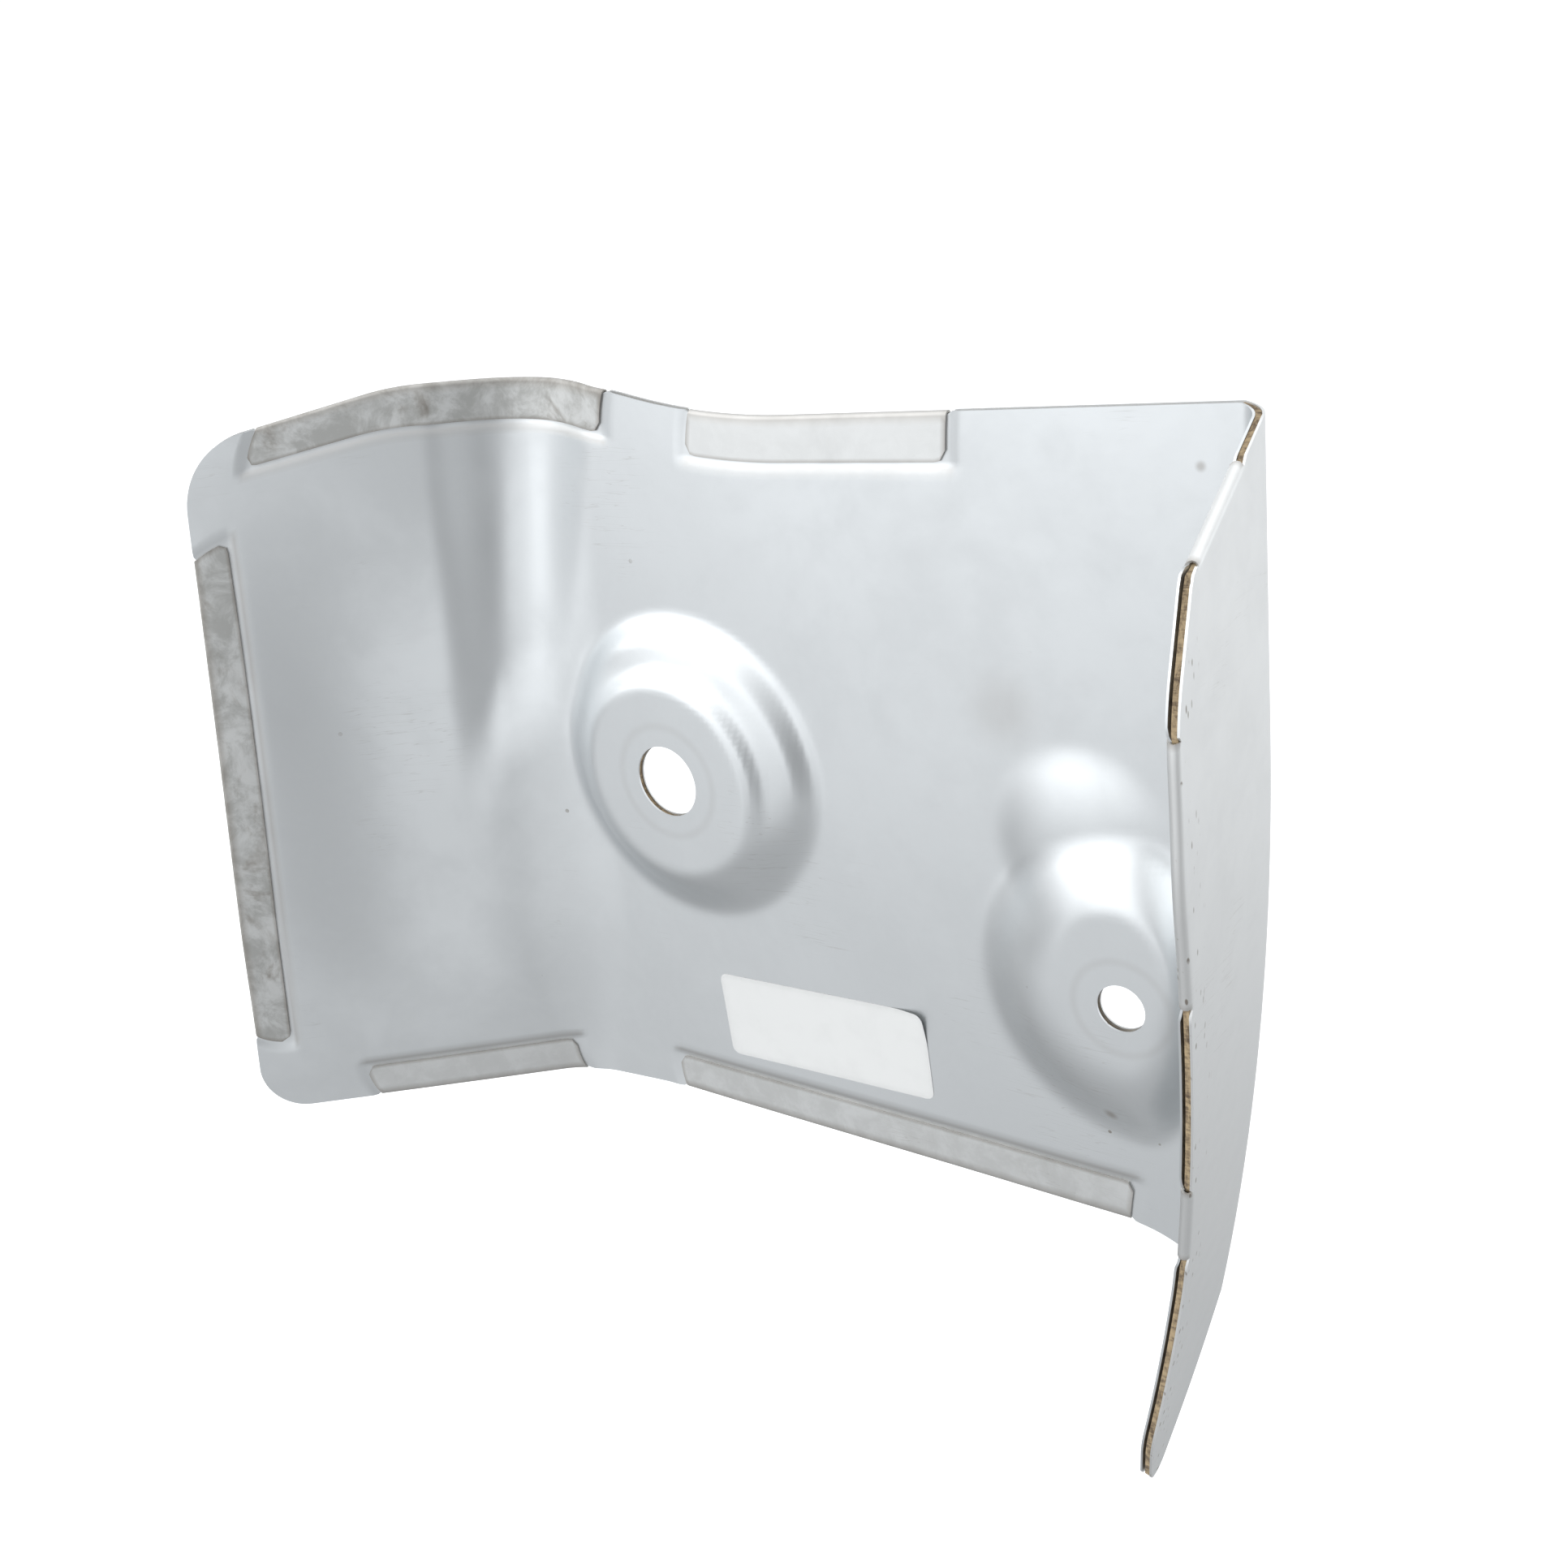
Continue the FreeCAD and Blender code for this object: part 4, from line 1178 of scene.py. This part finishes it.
def metal_material(finish, name, plain, gloss, flap_share, spots):
    """Satin aluminised sheet with smudges, tinted flaps, soil and painted shade round the flaps."""
    material, tree, shader, place = new_material(name)
    wear = add_node(tree, "ShaderNodeGroup", node_tree=sheet_wear_group())
    wire(tree, wear, {"Place": place, "Speck size": 0.045})
    smudge = wear.outputs["Smudge"]
    metal = mix_colours(tree, product(tree, smudge, 0.35), opaque(plain), opaque(plain, 0.84))
    flap = mark_value(tree, "flap")
    mottle = noise(tree, place, scale=130.0, detail=5.0, roughness=0.7, distortion=0.4)
    mottle = ease(tree, mottle, 0.36, 0.62, 0.35, 1.0)
    handled = product(tree, product(tree, flap, flap_share), mottle)
    metal = mix_colours(tree, handled, metal, opaque(finish.hem_tint))
    # Soil and painted shade both darken the metal towards the soil colour.
    soiled = sheet_soil_and_shade(tree, place, wear, spots)
    metal = mix_colours(tree, soiled, metal, opaque(finish.soil))
    rough = gloss
    for share, duller in ((smudge, 0.10), (flap, 0.10), (soiled, 0.35)):
        rough = calculate(tree, "MULTIPLY_ADD", share, duller, rough)
    normal = bump(tree, wear.outputs["Grain"], 0.12, 0.05 * MM)
    wire(tree, shader, {"Base Color": metal, "Metallic": 1.0, "Roughness": rough, "Normal": normal})
    return material


def fibre_material(finish):
    """Felted fibres of the mat, which run two ways."""
    material, tree, shader, place = new_material("Fibre mat")
    fibres = 0.0
    for scale, turn in FIBRE_RUNS:
        run = stretch(tree, place, scale, turn)
        felt = noise(tree, run, scale=1.0, detail=4.0, roughness=0.7, distortion=0.8)
        fibres = calculate(tree, "MULTIPLY_ADD", felt, 0.5, fibres)
    tone = ease(tree, fibres, 0.36, 0.60)
    shade = mix_colours(tree, tone, opaque(finish.fibre_dark), opaque(finish.fibre))
    normal = bump(tree, fibres, 0.8, 0.25 * MM)
    wire(tree, shader, {"Base Color": shade, "Roughness": 0.95, "Normal": normal})
    return material


def paper_material(finish):
    """Plain paper, a little soiled near its edge."""
    material, tree, shader, place = new_material("Label paper")
    cloud = ease(tree, noise(tree, place, scale=160.0, detail=4.0), 0.45, 0.75)
    edge = product(tree, mark_value(tree, "rim"), 0.25)
    soiled = calculate(tree, "MULTIPLY_ADD", cloud, 0.12, edge)
    shade = mix_colours(tree, soiled, opaque(finish.paper), opaque(finish.paper, 0.72))
    grain = noise(tree, place, scale=2200.0, detail=3.0)
    normal = bump(tree, grain, 0.15, 0.03 * MM)
    wire(tree, shader, {"Base Color": shade, "Roughness": 0.55, "Normal": normal})
    return material


def flap_outline_shade_mark(block, width):
    """1 in the narrow groove round each flap, where shade is painted."""
    inside = block.seat(width - OUTLINE_SHADE_INSIDE * MM)
    outside = block.seat(width + OUTLINE_SHADE_OUTSIDE * MM)
    return np.clip(outside - inside, 0.0, 1.0)


class HEATSHIELD_OT_outer_sheet(bpy.types.Operator):
    """Press the outer sheet and fold its hems over the pack"""

    bl_idname = "heat_shield.outer_sheet"
    bl_label = "Outer Sheet"

    def execute(self, context):
        sizes = context.scene.heat_shield_sizes
        finish = context.scene.heat_shield_finish
        gauge = sizes.sheet_gauge
        middle = 1.5 * gauge + sizes.mat_gauge
        grids = []
        for number, block in enumerate(press_blocks(sizes, sizes.grid_step)):
            offset = np.full(block.points.shape[:2], middle)
            points = block.layer(offset, OUTER_PULL)
            bare = np.zeros_like(offset)
            marks = {"flap": bare, "flap_outline_shade": bare, "nick": block.near_front(NICK_DEPTH * MM)}
            grid = add_grid(f"outer_block_{number}", points, marks)
            for hem in block.hems:
                fold_hem(grid, block, hem, sizes)
            grids.append(grid)
        piece = join_grids("shield_outer_sheet", grids)
        thicken(piece, gauge)
        pierce(piece, {})
        gloss = finish.metal_gloss + OUTER_DULLER
        material = metal_material(finish, "Outer sheet", finish.outer_metal, gloss, FLAP_TINT, ())
        finish_piece(piece, material, "outer_sheet")
        return {"FINISHED"}


class HEATSHIELD_OT_insulation_mat(bpy.types.Operator):
    """Lay the fibre mat between the sheets"""

    bl_idname = "heat_shield.insulation_mat"
    bl_label = "Insulation Mat"

    def execute(self, context):
        sizes = context.scene.heat_shield_sizes
        finish = context.scene.heat_shield_finish
        gauge = sizes.mat_gauge - MAT_CLEARANCE * MM
        squeeze = COIN_DEPTH * MM
        grids = []
        for number, block in enumerate(press_blocks(sizes, MAT_STEP * MM)):
            seat = block.seat(sizes.hem_width)
            offset = sizes.sheet_gauge + 0.5 * sizes.mat_gauge + 0.5 * squeeze * seat
            points = block.layer(offset, MAT_PULL if block.coined else MAT_FLANGE_PULL)
            grids.append(add_grid(f"mat_block_{number}", points, {"seat": seat}))
        piece = join_grids("shield_insulation_mat", grids)
        full = piece.vertex_groups.new(name="full")
        values = np.zeros(len(piece.data.vertices), dtype=np.float32)
        piece.data.attributes["seat"].data.foreach_get("value", values)
        for index, value in enumerate(values):
            full.add([index], 1.0 - float(value), "REPLACE")
        thicken(piece, gauge, "full", 1.0 - squeeze / gauge)
        pierce(piece, MAT_SPARE)
        finish_piece(piece, fibre_material(finish), "insulation_mat")
        return {"FINISHED"}


class HEATSHIELD_OT_inner_sheet(bpy.types.Operator):
    """Press the inner sheet and coin the seats of the hems into it"""

    bl_idname = "heat_shield.inner_sheet"
    bl_label = "Inner Sheet"

    def execute(self, context):
        sizes = context.scene.heat_shield_sizes
        finish = context.scene.heat_shield_finish
        grids = []
        for number, block in enumerate(press_blocks(sizes, sizes.grid_step)):
            seat = block.seat(sizes.hem_width)
            offset = 0.5 * sizes.sheet_gauge + COIN_DEPTH * MM * seat - EDGE_GAPE * MM * block.spread()
            points = block.layer(offset, INNER_PULL)
            marks = {"flap": np.zeros_like(seat), "flap_outline_shade": flap_outline_shade_mark(block, sizes.hem_width)}
            grids.append(add_grid(f"inner_block_{number}", points, marks))
        piece = join_grids("shield_inner_sheet", grids)
        thicken(piece, sizes.sheet_gauge)
        pierce(piece, {})
        material = metal_material(finish, "Inner sheet", finish.metal, finish.metal_gloss, 0.0, SHEET_SPOTS)
        finish_piece(piece, material, "inner_sheet")
        return {"FINISHED"}


class HEATSHIELD_OT_label(bpy.types.Operator):
    """Stick the plain paper label on the panel"""

    bl_idname = "heat_shield.label"
    bl_label = "Label"

    def execute(self, context):
        sizes = context.scene.heat_shield_sizes
        label = context.scene.heat_shield_label
        finish = context.scene.heat_shield_finish
        half_width = 0.5 * label.width
        half_height = 0.5 * label.height
        turns = np.linspace(0.0, QUARTER_TURN, LABEL_CORNER_POINTS)
        low = -half_height + label.corner * (1.0 - np.sin(turns[::-1]))
        middle = np.linspace(-half_height + label.corner, half_height - label.corner, LABEL_UP_POINTS)
        up = np.concatenate([low[:-1], middle, -low[-2::-1]])
        past = np.maximum(np.abs(up) - (half_height - label.corner), 0.0)
        reach = half_width - label.corner + np.sqrt(np.maximum(label.corner**2 - past**2, 0.0))
        across = np.linspace(-1.0, 1.0, LABEL_ACROSS_POINTS)
        flat_x = reach[:, None] * across[None, :]
        flat_z = up[:, None] + 0.0 * flat_x
        x = label.place_x + flat_x * math.cos(label.tilt) - flat_z * math.sin(label.tilt)
        z = label.place_z + flat_x * math.sin(label.tilt) + flat_z * math.cos(label.tilt)
        points, normals = front_face_with_normals(sizes, x, z)
        corner = (flat_x - half_width) + (flat_z - half_height)
        lift = label.lift * smooth_step(corner, -LABEL_LIFT_REACH * MM, 0.0) ** 1.5
        stand = 0.5 * label.gauge + LABEL_STAND * MM + lift
        rim = np.maximum(np.abs(flat_x) - half_width, np.abs(flat_z) - half_height)
        rim = smooth_step(rim, -LABEL_EDGE * MM, 0.0)
        piece = add_grid("shield_label", points - normals * stand[..., None], {"rim": rim})
        face_one_way(piece, merge=False)
        thicken(piece, label.gauge)
        finish_piece(piece, paper_material(finish))
        return {"FINISHED"}


class HEATSHIELD_OT_stage(bpy.types.Operator):
    """Set the floor, the studio light and the camera"""

    bl_idname = "heat_shield.stage"
    bl_label = "Stage"

    def execute(self, context):
        stage = context.scene.heat_shield_stage
        self.add_camera(context, stage)
        self.add_floor(stage)
        self.add_lights(stage)
        self.light_world(context)
        context.scene.view_settings.view_transform = "Standard"
        return {"FINISHED"}

    def add_camera(self, context, stage):
        """Camera at the photograph's place and angle."""
        deselect()
        turn = Euler((QUARTER_TURN - stage.camera_elevation, 0.0, stage.camera_azimuth)).to_matrix()
        turn = turn @ Euler((0.0, 0.0, stage.camera_roll)).to_matrix()
        bpy.ops.object.camera_add(location=stage.camera_place, rotation=turn.to_euler())
        camera = context.object
        camera.name = "shield_camera"
        camera.data.lens = stage.camera_lens
        camera.data.sensor_width = SENSOR_WIDTH
        camera.data.clip_start = 0.01
        context.scene.camera = camera

    def add_floor(self, stage):
        """Wide pale floor under the shield."""
        deselect()
        low = CAD_BOX[0][2] - stage.floor_drop
        bpy.ops.mesh.primitive_plane_add(size=FLOOR_SIZE, location=(0.0, 0.0, low))
        floor = bpy.context.object
        floor.name = "studio_floor"
        material, tree, shader, place = new_material("Studio floor")
        tone = product(tree, noise(tree, place, scale=3.0), 0.04)
        shade = mix_colours(tree, tone, opaque(stage.floor), opaque(stage.floor, 0.9))
        wire(tree, shader, {"Base Color": shade, "Roughness": 0.8})
        wire(tree, shader, {"Emission Color": WHITE, "Emission Strength": 0.3})
        floor.data.materials.append(material)
        floor.visible_glossy = False

    def add_lights(self, stage):
        """Soft box high on the left and a soft panel overhead."""
        lights = (("soft_box", stage.key_power, *SOFT_BOX), ("top_panel", stage.fill_power, *TOP_PANEL))
        for name, power, place, size in lights:
            deselect()
            bpy.ops.object.light_add(type="AREA", location=place)
            light = bpy.context.object
            light.name = name
            light.data.energy = power
            light.data.size = size
            aim = -light.location
            light.rotation_euler = aim.to_track_quat("-Z", "Y").to_euler()

    def light_world(self, context):
        """Pale surroundings with dim sides, and white paper where the camera looks past the shield."""
        world = bpy.data.worlds.new("Studio")
        world.use_nodes = True
        context.scene.world = world
        tree = world.node_tree
        look = add_node(tree, "ShaderNodeTexCoord").outputs["Generated"]
        height = add_node(tree, "ShaderNodeSeparateXYZ", {0: look}).outputs["Z"]
        light = 0.0
        for low, high, at_low, at_high in SKY_STEPS:
            light = calculate(tree, "ADD", light, ease(tree, height, low, high, at_low, at_high))
        for direction, low, high, share in DIM_SIDES:
            toward = add_node(tree, "ShaderNodeVectorMath", operation="DOT_PRODUCT")
            wire(tree, toward, {0: look, 1: direction})
            dim = ease(tree, toward.outputs["Value"], low, high, 1.0, share)
            light = product(tree, light, dim)
        studio = tree.nodes["Background"]
        studio.inputs["Color"].default_value = SKY_TINT
        tree.links.new(light, studio.inputs["Strength"])
        paper = add_node(tree, "ShaderNodeBackground", {"Color": WHITE, "Strength": 1.05})
        seen = add_node(tree, "ShaderNodeLightPath").outputs["Is Camera Ray"]
        mix = add_node(tree, "ShaderNodeMixShader", {0: seen, 1: studio.outputs[0], 2: paper.outputs[0]})
        tree.links.new(mix.outputs[0], tree.nodes["World Output"].inputs["Surface"])


class HEATSHIELD_PT_panel(bpy.types.Panel):
    """Steps that model the shield"""

    bl_idname = "HEATSHIELD_PT_panel"
    bl_label = "Heat Shield"
    bl_space_type = "VIEW_3D"
    bl_region_type = "UI"
    bl_category = "Heat Shield"

    def draw(self, context):
        for operator in OPERATORS:
            self.layout.operator(operator.bl_idname)
        for name in SETTINGS:
            group = getattr(context.scene, name)
            for setting in group.bl_rna.properties.keys():
                if setting not in {"rna_type", "name"}:
                    self.layout.prop(group, setting)


OPERATORS = (
    HEATSHIELD_OT_stage,
    HEATSHIELD_OT_outer_sheet,
    HEATSHIELD_OT_insulation_mat,
    HEATSHIELD_OT_inner_sheet,
    HEATSHIELD_OT_label,
)
SETTINGS = {
    "heat_shield_sizes": ShieldSizes,
    "heat_shield_label": LabelSizes,
    "heat_shield_finish": ShieldFinish,
    "heat_shield_stage": StageSettings,
}


def register():
    """Register the settings, the operators and the panel."""
    for name, group in SETTINGS.items():
        bpy.utils.register_class(group)
        setattr(bpy.types.Scene, name, bpy.props.PointerProperty(type=group))
    for operator in OPERATORS:
        bpy.utils.register_class(operator)
    bpy.utils.register_class(HEATSHIELD_PT_panel)


def unregister():
    """Take everything out again."""
    bpy.utils.unregister_class(HEATSHIELD_PT_panel)
    for operator in reversed(OPERATORS):
        bpy.utils.unregister_class(operator)
    for name, group in SETTINGS.items():
        delattr(bpy.types.Scene, name)
        bpy.utils.unregister_class(group)


def main():
    """Model the shield and its stage."""
    register()
    deselect()
    bpy.ops.heat_shield.stage()
    bpy.ops.heat_shield.outer_sheet()
    bpy.ops.heat_shield.insulation_mat()
    bpy.ops.heat_shield.inner_sheet()
    bpy.ops.heat_shield.label()
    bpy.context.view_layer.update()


if __name__ == "__main__":
    main()
